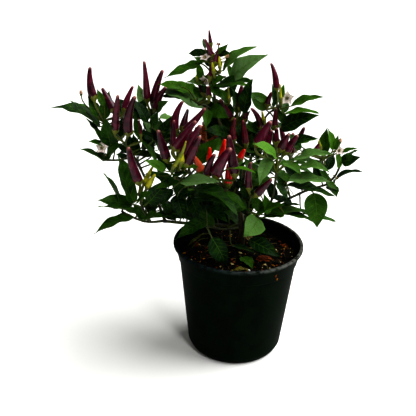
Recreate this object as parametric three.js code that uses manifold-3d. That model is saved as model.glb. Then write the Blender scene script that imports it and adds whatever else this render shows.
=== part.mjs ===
// A potted ornamental chilli pepper plant, in millimetres, +Z up.
// The origin is the centre of the pot's flat underside, and the plant's front faces -Y.
//
// From the ground up it is a thin-walled nursery pot, the potting mix that fills it with the bark chips and the
// fallen leaves that lie on it, one woody stem with its limbs, leafy twigs that sit on the limbs, and bunches of
// upright fruits, flowers and buds that sit on the twigs.

import * as THREE from 'three';
import { mergeVertices } from 'three/addons/utils/BufferGeometryUtils.js';
import Module from 'manifold-3d';

const wasm = await Module();
wasm.setup();

// ---------------------------------------------------------------- driving sizes

const CLEARANCE = 0.35; // gap between two pieces that touch on the real plant
const SHORTEST = 0.15; // edges below this are closed up after joining and cutting
const POT = {
  height: 144,
  rimRadius: 80,
  lipHeight: 4.4,
  lipUnder: 77,
  step: 22, // height of the upper band, from the rim down to the small step in the wall
  bandFoot: 73.4,
  wallTop: 72,
  wallFoot: 58.4,
  corner: 9,
  base: 52,
  wall: 1.3,
  facets: 30,
  hole: { radius: 4.2, circle: 43, count: 8, sides: 8 },
};
const MIX = { top: 128, relief: 1.6, sink: 12 }; // sink is how far the stem's foot reaches into the mix
const WOOD = { sides: 4, step: 24, twig: { from: 1.6, to: 1.1 } }; // step is one straight stretch of a stem
const LEAF = {
  ratio: 2.3, // length to breadth of a blade seen square on
  rise: 0.6, // how fast the blade broadens from its foot
  fall: 1.1, // and how fast it narrows to its tip
  thickness: 1.3,
  fold: 0.3,
  arch: 0.04,
  wave: 0.04,
  petiole: 0.85,
  stations: [0.22, 0.48, 0.75], // where the blade's outline is stated, as shares of its length
  feet: [0.1, 0.3, 0.5, 0.7, 0.9], // where a stalk may stand on each straight stretch of wood
  aside: 5.2, // how far its foot keeps from the twig's own root and from the middle of a bunch's collar
};
const FRUIT = {
  sides: 5,
  shoulder: 0.16, // share of the length where the fruit is widest
  neck: 0.7, // girth where it leaves its cup, as a share of the widest
  blunt: 0.36, // and at its tip, which is rounded off
  stations: [0.16, 0.56, 0.94], // where its girth is stated, as shares of its length
  pedicel: 1.1,
  cup: 0.34, // radius of the cup under the fruit, as a share of the fruit's width
  bow: -0.01,
  hub: 3, // half height and radius of the collar that a bunch stands on
};
const PETAL = { count: 5, notch: 0.5, thickness: 1, cupping: 0.25, cone: 1.5, coneTop: 4, stalk: 0.9 };
const CHIP = { thickness: 2.2, bevel: 0.6, corners: 9, bedded: 0.9 };

// The sheet that the plant's places are drawn on is a perspective front elevation, 416 units a side. Its eye is
// in front of the pot and above it. A place is [across, down, depth], with the depth in mm behind the pot's axis.
const SHEET = {
  eye: new THREE.Vector3(0, -802, 552),
  yaw: THREE.MathUtils.degToRad(-2.76),
  pitch: THREE.MathUtils.degToRad(-24.47),
  roll: THREE.MathUtils.degToRad(1.67),
  units: 728, // units on the sheet of a thing as wide as it is far from the eye
  middle: 208,
};

// ---------------------------------------------------------------- places

const UP = new THREE.Vector3(0, 0, 1);
const BACK = new THREE.Vector3(0, 1, 0);
const ahead = new THREE.Vector3(0, 1, 0)
  .applyAxisAngle(new THREE.Vector3(1, 0, 0), SHEET.pitch)
  .applyAxisAngle(UP, -SHEET.yaw);
const rightward = ahead.clone().cross(UP).normalize().applyAxisAngle(ahead, -SHEET.roll);
const upward = rightward.clone().cross(ahead);

// The point in space of a place on the sheet.
function at([across, down, depth]) {
  const ray = ahead
    .clone()
    .addScaledVector(rightward, (across - SHEET.middle) / SHEET.units)
    .addScaledVector(upward, (SHEET.middle - down) / SHEET.units);
  return SHEET.eye.clone().addScaledVector(ray, (depth - SHEET.eye.y) / ray.y);
}

// The length in space of one unit of the sheet at a point.
const unitAt = (point) => point.clone().sub(SHEET.eye).dot(ahead) / SHEET.units;

// A seeded source of numbers from low to high.
function dice(seed) {
  let state = seed;
  return (low, high) => {
    state = (Math.imul(state, 1664525) + 1013904223) >>> 0;
    return low + ((high - low) * state) / 2 ** 32;
  };
}

// ---------------------------------------------------------------- solids

const union = (bodies) => wasm.Manifold.union(bodies);
const largest = (body) => body.decompose().reduce((a, b) => (a.volume() > b.volume() ? a : b));
const tidy = (body) => largest(body.simplify(SHORTEST));

// A closed three.js geometry as a solid that can be joined and cut.
function solid(geometry) {
  geometry.deleteAttribute('normal');
  geometry.deleteAttribute('uv');
  const merged = mergeVertices(geometry, 1e-4);
  return new wasm.Manifold(
    new wasm.Mesh({
      numProp: 3,
      vertProperties: merged.attributes.position.array,
      triVerts: new Uint32Array(merged.index.array),
    }),
  );
}

// A ring of points round a middle, square to a direction. Its first half-axis lies along the hint.
function ring(middle, direction, hint, sides, wide, thick = wide) {
  const a = hint.clone().addScaledVector(direction, -hint.dot(direction)).normalize();
  const b = a.clone().cross(direction);
  return Array.from({ length: sides }, (_, k) => {
    const angle = (2 * Math.PI * k) / sides;
    return middle
      .clone()
      .addScaledVector(a, wide * Math.cos(angle))
      .addScaledVector(b, thick * Math.sin(angle));
  });
}

// A closed skin over a row of rings. The first and the last are single points.
// The two halves of the skin are split into triangles as mirror images, so that a thin blade's faces run alike.
function skin(rings) {
  const sides = rings[1].length;
  const last = rings.length - 1;
  const body = new THREE.SphereGeometry(1, sides, last);
  const corner = (i, j) => i * (sides + 1) + j;
  const index = [];
  for (let i = 0; i <= last; i++) {
    for (let j = 0; j <= sides; j++) {
      const point = rings[i][j % rings[i].length];
      body.attributes.position.setXYZ(corner(i, j), point.x, point.y, point.z);
      if (i === last || j === sides) continue;
      const [a, b, c, d] = [corner(i, j + 1), corner(i, j), corner(i + 1, j), corner(i + 1, j + 1)];
      const mirrored = j >= sides / 2;
      if (i > 0) index.push(a, b, mirrored ? c : d);
      if (i < last - 1) index.push(mirrored ? a : b, c, d);
    }
  }
  body.setIndex(index);
  return solid(body);
}

const smooth = (points) => new THREE.CatmullRomCurve3(points, false, 'centripetal');

// The middles of a stem's rings: a smooth curve through its points, taken in straight stretches.
const stretches = (curve) => curve.getSpacedPoints(Math.max(1, Math.round(curve.getLength() / WOOD.step)));

// A stem along a smooth run of points, with its radius a function of the share of the way.
function stem(points, radius, sides) {
  const curve = smooth(points);
  const middles = stretches(curve);
  const rings = middles.map((middle, k) => {
    const share = k / (middles.length - 1);
    return ring(middle, curve.getTangentAt(share), BACK, sides, radius(share));
  });
  return skin([[middles[0]], ...rings, [middles.at(-1)]]);
}

// The direction from one point to another, and the direction halfway between two others.
const heading = (from, to) => to.clone().sub(from).normalize();
const halfway = (a, b, otherwise) => (a.dot(b) < -0.98 ? otherwise.clone() : a.clone().add(b).normalize());

// Share of the greatest radius of a body that swells by one power of the way and narrows by another.
function swell(share, rise, fall) {
  const peak = rise / (rise + fall);
  return (share / peak) ** rise * ((1 - share) / (1 - peak)) ** fall;
}

// Share of the greatest radius of a fruit, which swells quickly to its shoulder and narrows slowly to a blunt tip.
function girth(share) {
  const { shoulder, neck, blunt } = FRUIT;
  if (share < shoulder) return neck + (1 - neck) * Math.sin((Math.PI / 2) * (share / shoulder));
  return 1 - (1 - blunt) * ((share - shoulder) / (1 - shoulder)) ** 1.25;
}

// ---------------------------------------------------------------- pot and what is in it

function pot() {
  const top = POT.height;
  const foot = POT.base - POT.wallFoot;
  const outer = [
    [0, 0],
    [POT.base, 0],
    [POT.wallFoot + foot * 0.35, POT.corner * 0.3],
    [POT.wallFoot + (POT.wallTop - POT.wallFoot) * (POT.corner / (top - POT.step)), POT.corner],
    [POT.wallTop, top - POT.step],
    [POT.bandFoot, top - POT.step + 0.8],
    [POT.lipUnder, top - POT.lipHeight],
    [POT.rimRadius, top - POT.lipHeight + 0.6],
    [POT.rimRadius, top - 1],
    [POT.rimRadius - 0.9, top],
  ];
  const inner = [
    [POT.lipUnder - POT.wall + 0.5, top],
    [POT.lipUnder - POT.wall, top - 2],
    [POT.bandFoot - POT.wall, top - POT.step + 1.8],
    [POT.wallTop - POT.wall, top - POT.step + 0.6],
    [POT.wallFoot - POT.wall + 0.8, POT.corner],
    [POT.base - 1, POT.wall],
    [0, POT.wall],
  ];
  const profile = [...outer, ...inner].map(([r, z]) => new THREE.Vector2(r, z));
  const shell = solid(new THREE.LatheGeometry(profile, POT.facets).rotateX(Math.PI / 2));
  const holes = Array.from({ length: POT.hole.count }, (_, k) => {
    const drill = new THREE.CylinderGeometry(POT.hole.radius, POT.hole.radius, 4 * POT.wall, POT.hole.sides);
    const angle = (2 * Math.PI * (k + 0.5)) / POT.hole.count;
    drill.rotateX(Math.PI / 2);
    drill.translate(POT.hole.circle * Math.cos(angle), POT.hole.circle * Math.sin(angle), 0);
    return solid(drill);
  });
  return shell.subtract(union(holes));
}

// Height of the mix's surface: low swells that a watering leaves, and a little mound at the stem.
function mixHeight(x, y) {
  const swells = Math.sin(x / 9.5 + 1.3) * Math.cos(y / 11 - 0.4) + 0.6 * Math.sin((x + 1.7 * y) / 6.1);
  return MIX.top + MIX.relief * swells + 3 * Math.exp(-(x * x + y * y) / 300);
}

function pottingMix() {
  const slope = (POT.wallTop - POT.wallFoot) / (POT.height - POT.step - POT.corner);
  const inside = (z) => POT.wallFoot - 2 * POT.wall + slope * (z - POT.corner);
  const edge = POT.bandFoot - POT.wall - 0.6;
  const shelf = POT.height - POT.step;
  const profile = [
    [0, POT.wall + CLEARANCE],
    [POT.base - 2.4, POT.wall + CLEARANCE],
    [inside(POT.corner), POT.corner + 1],
    [inside(shelf) + 0.2, shelf],
    [edge, shelf + 3],
    [edge + 0.4, MIX.top],
    ...[0.8, 0.6, 0.4, 0.2, 0].map((share) => [edge * share, MIX.top]),
  ];
  const points = profile.map(([r, z]) => new THREE.Vector2(r, z));
  const body = new THREE.LatheGeometry(points, POT.facets).rotateX(Math.PI / 2);
  const position = body.attributes.position;
  for (let i = 0; i < position.count; i++) {
    if (position.getZ(i) < MIX.top - 0.01) continue;
    position.setZ(i, mixHeight(position.getX(i), position.getY(i)));
  }
  return solid(body);
}

// A flake of bark with a worn outline, lying flat and bedded a little in the mix.
function barkChip({ x, y, length, breadth, turn }, grow) {
  const outline = new THREE.Shape();
  for (let k = 0; k < CHIP.corners; k++) {
    const angle = (2 * Math.PI * k) / CHIP.corners;
    const reach = 1 + 0.16 * Math.sin(3 * angle + turn) + 0.1 * Math.cos(5 * angle);
    const across = (length / 2) * reach + grow;
    const over = (breadth / 2) * reach + grow;
    const point = [across * Math.cos(angle), over * Math.sin(angle)];
    if (k === 0) outline.moveTo(...point);
    else outline.lineTo(...point);
  }
  const flake = new THREE.ExtrudeGeometry(outline, {
    depth: CHIP.thickness + 2 * grow,
    bevelSize: CHIP.bevel,
    bevelThickness: CHIP.bevel,
    bevelSegments: 1,
  });
  flake.rotateZ(THREE.MathUtils.degToRad(turn));
  flake.translate(x, y, mixHeight(x, y) - CHIP.bedded - grow);
  return solid(flake);
}

// A leaf that has dropped and lies on the mix, its foot at one spot and its tip at another.
function fallenLeaf({ foot, tip, breadth }, grow) {
  const [start, end] = [foot, tip].map(([x, y]) => new THREE.Vector3(x, y, mixHeight(x, y) + 1.6));
  const base = start.clone().lerp(end, 0.16);
  return leafSkin({ base, tip: end, breadth, arch: 0.05 }, start, grow);
}

// ---------------------------------------------------------------- leaves

// The directions of a leaf's blade and its breadth. The blade's length sets its breadth, and the breadth that it
// shows to the eye sets how far its upper face is turned, to the sky, or to the ground where seen is below 0.
// A leaf that states no such breadth faces the sky.
function bladeFrame({ base, tip, seen, breadth: own }) {
  const run = tip.clone().sub(base);
  const along = run.clone().normalize();
  const usual = own ?? run.length() / LEAF.ratio;
  const shown = seen === undefined ? usual : Math.abs(seen) * unitAt(base);
  const toEye = seen === undefined ? UP.clone() : SHEET.eye.clone().sub(base);
  const facing = toEye.addScaledVector(along, -toEye.dot(along)).normalize();
  const square = along.clone().cross(facing);
  const breadth = Math.max(usual, shown);
  const turn = Math.acos(shown / breadth) * Math.sign(seen ?? 1) * (square.z < 0 ? -1 : 1);
  const face = facing.multiplyScalar(Math.cos(turn)).addScaledVector(square, Math.sin(turn));
  return { run, along, face, breadth, side: along.clone().cross(face) };
}

// A leaf from the foot of its stalk to its tip. Its lance-shaped blade is folded a little along its midrib,
// arched, and waved at its edges.
function leafSkin(leaf, foot, grow) {
  const { run, along, face, side, breadth } = bladeFrame(leaf);
  const arch = (leaf.arch ?? LEAF.arch) * run.length() * 4;
  const rise = heading(foot, leaf.base);
  const stalk = LEAF.petiole + grow;
  const blade = LEAF.stations.map((share) => {
    const half = grow + (breadth / 2) * swell(share, LEAF.rise, LEAF.fall);
    const middle = leaf.base.clone().addScaledVector(run, share).addScaledVector(face, arch * share * (1 - share));
    const wave = LEAF.wave * breadth * Math.sin(4 * Math.PI * share);
    const skinned = LEAF.thickness / 2 + grow;
    return [0, 1, 2, 3].map((quarter) => {
      const across = [1, 0, -1, 0][quarter];
      const lift = LEAF.fold * half * Math.abs(across) + wave * across + skinned * [0, 1, 0, -1][quarter];
      return middle.clone().addScaledVector(side, half * across).addScaledVector(face, lift);
    });
  });
  return skin([
    [foot.clone().addScaledVector(rise, -grow)],
    ring(foot, rise, side, 4, stalk),
    ring(leaf.base, halfway(rise, along, face), side, 4, stalk + 0.3, stalk),
    ...blade,
    [leaf.tip.clone().addScaledVector(along, grow)],
  ]);
}

// ---------------------------------------------------------------- fruits, flowers and buds

// A long pointed fruit on its stalk, which starts at the hub of its bunch and widens to a cup under the fruit.
function fruit({ base, tip, width, bow: own }, hub, grow) {
  const run = tip.clone().sub(base);
  const along = heading(base, tip);
  const rise = heading(hub, base);
  const bow = BACK.clone().cross(along).multiplyScalar(4 * (own ?? FRUIT.bow) * run.length());
  const body = FRUIT.stations.map((share) => {
    const middle = base.clone().addScaledVector(run, share).addScaledVector(bow, share * (1 - share));
    return ring(middle, along, BACK, FRUIT.sides, grow + (width / 2) * girth(share));
  });
  return skin([
    [hub],
    ring(hub.clone().addScaledVector(rise, 0.5), rise, BACK, FRUIT.sides, FRUIT.pedicel + grow),
    ring(base, halfway(rise, along, UP), BACK, FRUIT.sides, FRUIT.cup * width + grow),
    ...body,
    [tip.clone().addScaledVector(along, grow)],
  ]);
}

// A small egg-shaped body.
function egg({ base, tip, width }, grow) {
  const along = heading(base, tip);
  const rings = [0.25, 0.75].map((share) => ring(base.clone().lerp(tip, share), along, BACK, 5, width / 2 + grow));
  return skin([[base.clone().addScaledVector(along, -grow)], ...rings, [tip.clone().addScaledVector(along, grow)]]);
}

// The bare stalk of a flower or a bud.
const stalk = (foot, top, grow) => stem([foot, top], () => PETAL.stalk + grow, 4);

// A closed bud on its stalk.
function bud({ base, tip, width }, foot, grow) {
  const inside = base.clone().lerp(tip, 0.3);
  return union([egg({ base, tip, width }, grow), stalk(foot, inside, grow)]);
}

// A flower on its stalk: a cupped star of five pointed petals round a cone of anthers. facing is the way it looks.
function flower({ centre, facing, size }, foot, grow) {
  const rise = heading(foot, centre);
  const points = 2 * PETAL.count;
  const star = (offset) => {
    const round = ring(centre, facing, UP, points, 1);
    return round.map((point, k) => {
      const reach = size * (k % 2 ? PETAL.notch : 1);
      const lift = PETAL.cupping * reach + offset;
      return point.sub(centre).multiplyScalar(reach + grow).add(centre).addScaledVector(facing, lift);
    });
  };
  const cone = centre.clone().addScaledVector(facing, PETAL.thickness);
  return skin([
    [foot.clone().addScaledVector(rise, -grow)],
    ring(foot, rise, UP, points, PETAL.stalk + grow),
    ring(centre.clone().addScaledVector(facing, -1.5 - grow), facing, UP, points, PETAL.stalk + grow),
    star(-grow - PETAL.thickness / 2),
    star(grow + PETAL.thickness / 2),
    ring(cone, facing, UP, points, PETAL.cone + grow),
    [cone.clone().addScaledVector(facing, PETAL.coneTop + grow)],
  ]);
}

// ---------------------------------------------------------------- where everything grows

const FOOT = new THREE.Vector3(3, 6, MIX.top - MIX.sink);
const FORK = [242, 226, 4];
const KNEE = [236, 193, 8];

// The woody stem and its limbs: places along the run, and the radius in mm at its start and at its end.
const LIMBS = [
  { run: [FOOT, FORK, KNEE, [228, 150, 12], [217, 113, 16], [213, 84, 18]], from: 4.4, to: 1.5 },
  { run: [FORK, [215, 225, -4], [184, 223, -14], [163, 221, -22]], from: 2.4, to: 1.8 },
  { run: [[165, 221, -22], [158, 203, -10], [146, 180, 0]], from: 1.8, to: 1.5 },
  { run: [KNEE, [218, 184, 20], [200, 173, 30], [172, 146, 45]], from: 2.3, to: 1.5 },
  { run: [KNEE, [220, 190, -4], [205, 184, -15]], from: 2.1, to: 1.6 },
  { run: [FORK, [258, 215, -13], [270, 206, -20]], from: 2.4, to: 1.8 },
  { run: [KNEE, [243, 175, 18], [251, 158, 26]], from: 2.1, to: 1.5 },
];

// The leafy twigs. A leaf is its base, its tip, the breadth that it shows, and its arch where that is its own.
const TWIGS = [
  {
    name: 'left_tip',
    runs: [
      [[146, 180, 0], [136, 160, 5], [124, 143, 0], [113, 131, 2], [103, 122, 5]],
      [[133, 156, 4], [119, 160, 2], [105, 160, 0]],
    ],
    leaves: [
      [[100, 127, 5], [50, 107, -8], 10, 0.13],
      [[99, 122, 15], [70, 100, 30], 6],
      [[100, 117, 18], [89, 98, 38], 9],
      [[105, 116, 17], [109, 91, 30], 13],
      [[111, 146, -2], [105, 118, -16], 16, -0.02],
      [[104, 145, -2], [88, 141, -14], 5],
      [[104, 161, 0], [79, 148, -12], 4.5],
      [[106, 160, -1], [122, 143, -14], 8],
      [[137, 155, 15], [133, 133, 27], 9],
      [[156, 161, 4], [130, 126, 12], 5, 0.01],
      [[134, 151, 12], [116, 154, 24], 5],
      [[152, 156, 20], [127, 153, 32], 7],
      [[128, 128, 22], [119, 108, 34], 8],
    ],
  },
  {
    name: 'left_low',
    runs: [
      [[163, 221, -22], [150, 222, -27], [137, 219, -32], [121, 211, -32]],
      [[150, 221, -27], [143, 209, -34], [139, 194, -38]],
    ],
    leaves: [
      [[134, 203, -36], [120, 154, -30], 13, -0.07],
      [[121, 206, -30], [104, 171, -22], 4, 0.02],
      [[133, 204, -30], [97, 200, -44], 13.5, -0.02],
      [[134, 217, -34], [93, 233, -54], 9.5, 0.06],
      [[143, 220, -31], [164, 216, -50], 8, 0.1],
      [[148, 203, -36], [168, 179, -42], 17],
      [[137, 202, -41], [152, 192, -60], 6],
    ],
  },
  {
    name: 'left_back',
    runs: [[[172, 146, 45], [158, 126, 50], [152, 113, 50]]],
    leaves: [
      [[146, 107, 63], [138, 84, 74], 11, -0.02],
      [[158, 123, 52], [118, 99, 62], 8],
      [[161, 151, 38], [141, 115, 30], 7, 0],
      [[152, 147, 44], [163, 130, 72], 7],
      [[160, 118, 56], [176, 119, 76], 6],
      [[158, 111, 34], [168, 101, 18], 7],
      [[150, 132, 46], [143, 118, 62], 8],
    ],
  },
  {
    name: 'mid_left_high',
    runs: [[[190, 173, -16], [184, 150, -6], [180, 134, 0]]],
    leaves: [
      [[195, 163, -8], [221, 137, -12], 16],
      [[178, 137, 6], [163, 121, 30], 9],
      [[184, 151, 0], [201, 131, 28], 11],
    ],
  },
  {
    name: 'mid_left',
    runs: [[[205, 184, -15], [188, 172, -24], [176, 160, -28]]],
    leaves: [
      [[165, 171, -30], [144, 160, -36], 9, 0.08],
      [[173, 172, -30], [198, 167, -54], 5.5],
      [[196, 178, -16], [214, 163, 6], 12],
      [[160, 176, -14], [143, 174, -8], 5],
      [[180, 180, -34], [156, 188, -48], 9],
    ],
  },
  {
    name: 'front_left',
    runs: [[[205, 190, -20], [188, 185, -38], [173, 176, -47]]],
    leaves: [
      [[188, 190, -46], [239, 213, -78], 12, 0.14],
      [[195, 197, -38], [233, 206, -62], 9],
      [[181, 182, -48], [219, 181, -68], 11, 0.02],
      [[177, 197, -34], [184, 220, -50], 14],
      [[186, 172, -50], [171, 178, -66], 5],
      [[190, 196, -30], [199, 219, -42], 12],
      [[172, 189, -42], [162, 205, -56], 8],
      [[198, 188, -32], [176, 199, -46], 10],
    ],
  },
  {
    name: 'front_low',
    runs: [[[238, 228, -4], [222, 229, -24], [205, 226, -42]]],
    leaves: [
      [[206, 221, -42], [176, 238, -66], 13, 0.08],
      [[212, 238, -52], [227, 266, -56], 19],
      [[208, 207, -36], [228, 222, -58], 12],
      [[238, 222, -26], [223, 211, -44], 9],
      [[214, 226, -28], [197, 211, -24], 9],
      [[232, 246, -24], [256, 253, -36], 5],
      [[204, 224, -34], [173, 212, -38], 9],
    ],
  },
  {
    name: 'centre_front',
    runs: [[[234, 200, -4], [229, 193, -18], [222, 186, -28], [213, 180, -36]]],
    leaves: [
      [[221, 192, -32], [247, 209, -56], 8],
      [[216, 187, -28], [198, 197, -22], 10],
      [[231, 199, -16], [252, 212, -34], 9],
      [[236, 188, -4], [250, 177, 12], 8],
    ],
  },
  {
    name: 'top',
    runs: [[[213, 84, 18], [211, 74, 18], [209, 60, 18]]],
    leaves: [
      [[201, 63, 15], [164, 77, 4], 8.5, -0.01],
      [[205, 53, 24], [188, 53, 36], 8],
      [[205, 48, 20], [203, 38, 30], 5],
      [[217, 53, 4], [227, 46, -2], 5],
      [[218, 53, 14], [231, 53, 2], 8, 0.1],
      [[223, 71, 14], [255, 45, 6], 8.5, 0.08],
      [[232, 79, 12], [266, 54, -8], 17, 0.12],
      [[214, 87, 10], [252, 79, -14], 7.5, 0.02],
      [[210, 86, 8], [221, 97, -14], 9],
      [[206, 85, 14], [187, 82, 4], 5],
      [[200, 80, 26], [197, 62, 36], 6],
    ],
  },
  {
    name: 'upper_left',
    runs: [[[216, 112, 16], [207, 107, 12], [195, 102, 8]]],
    leaves: [
      [[206, 109, 24], [156, 92, 66], 17, 0.13],
      [[203, 97, 18], [193, 86, 28], 9],
      [[211, 107, 8], [229, 118, -10], 14],
      [[208, 110, 4], [206, 128, -18], 10],
    ],
  },
  {
    name: 'centre_high',
    runs: [[[227, 150, 12], [233, 140, 19], [237, 124, 24]]],
    leaves: [
      [[228, 134, 12], [204, 130, -8], 11],
      [[222, 127, 20], [206, 117, 22], 9],
      [[243, 105, 48], [251, 79, 54], 11],
      [[236, 113, 46], [233, 87, 56], 8],
      [[226, 146, 0], [207, 146, -12], 11],
      [[238, 136, 24], [252, 122, 44], 9],
      [[231, 118, 36], [226, 99, 52], 9],
      [[246, 131, 30], [262, 134, 40], 8],
    ],
  },
  {
    name: 'right_high',
    runs: [[[251, 158, 26], [261, 126, 35], [269, 113, 38], [279, 108, 38]]],
    leaves: [
      [[266, 110, 38], [250, 93, 48], 12],
      [[291, 106, 36], [323, 96, 26], 7.5, 0.06],
      [[281, 129, 30], [319, 115, 18], 16, 0.1],
      [[258, 131, 30], [243, 127, 8], 9],
      [[280, 104, 44], [277, 89, 60], 6],
      [[266, 127, 42], [283, 124, 64], 9],
      [[255, 147, 29], [242, 150, 8], 10],
      [[258, 139, 34], [247, 118, 58], 10],
      [[283, 113, 36], [287, 100, 54], 8],
    ],
  },
  {
    name: 'right_mid',
    runs: [[[270, 206, -20], [274, 190, -24], [277, 167, -26]]],
    leaves: [
      [[289, 145, 0], [315, 137, -16], 9],
      [[294, 160, -24], [332, 153, -46], 8, 0.05],
      [[286, 163, -28], [301, 174, -60], 9],
      [[276, 157, -44], [254, 143, -66], 9],
      [[269, 158, -46], [259, 184, -72], 13],
      [[277, 183, -26], [287, 199, -50], 6, -0.02],
      [[274, 172, -20], [262, 160, 4], 8],
      [[277, 175, -24], [293, 181, -4], 9],
      [[270, 178, -30], [251, 186, -46], 8],
    ],
  },
  {
    name: 'right_low',
    runs: [[[271, 205, -20], [290, 198, -5], [308, 190, 5], [329, 184, 8], [335, 182, 7]]],
    leaves: [
      [[299, 167, 0], [329, 170, -22], 8, 0.08],
      [[287, 179, -8], [330, 181, -26], 11, 0.03],
      [[287, 185, -12], [335, 194, -28], 8, -0.01],
      [[333, 182, 8], [362, 170, 0], 4, 0.1],
      [[329, 187, 8], [337, 196, -24], 9],
      [[314, 193, -6], [317, 228, -22], 23],
      [[321, 180, 12], [313, 166, 28], 9],
      [[303, 213, 6], [336, 221, 14], 7, -0.01],
    ],
  },
  {
    name: 'far_right',
    runs: [
      [[326, 185, 8], [335, 176, 9], [340, 166, 10]],
      [[331, 181, 8], [324, 170, 7], [322, 158, 5]],
    ],
    leaves: [
      [[324, 153, 15], [327, 128, 8], 12],
      [[338, 151, 12], [332, 136, 28], 8],
      [[342, 162, 2], [360, 157, -16], 12, 0.06],
      [[341, 163, 14], [358, 149, 30], 5],
      [[326, 170, 12], [334, 153, 26], 10],
    ],
  },
  {
    name: 'front_right',
    runs: [[[244, 226, 2], [247, 212, -24], [250, 200, -40], [252, 194, -45]]],
    leaves: [
      [[259, 219, -36], [244, 237, -62], 22],
      [[249, 240, -24], [281, 257, -44], 15],
      [[264, 215, -22], [312, 212, -6], 9, 0.07],
      [[262, 218, -22], [285, 213, -34], 3],
      [[246, 206, -28], [232, 214, -52], 8],
      [[256, 214, -28], [284, 204, -48], 8],
    ],
  },
];

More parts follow.
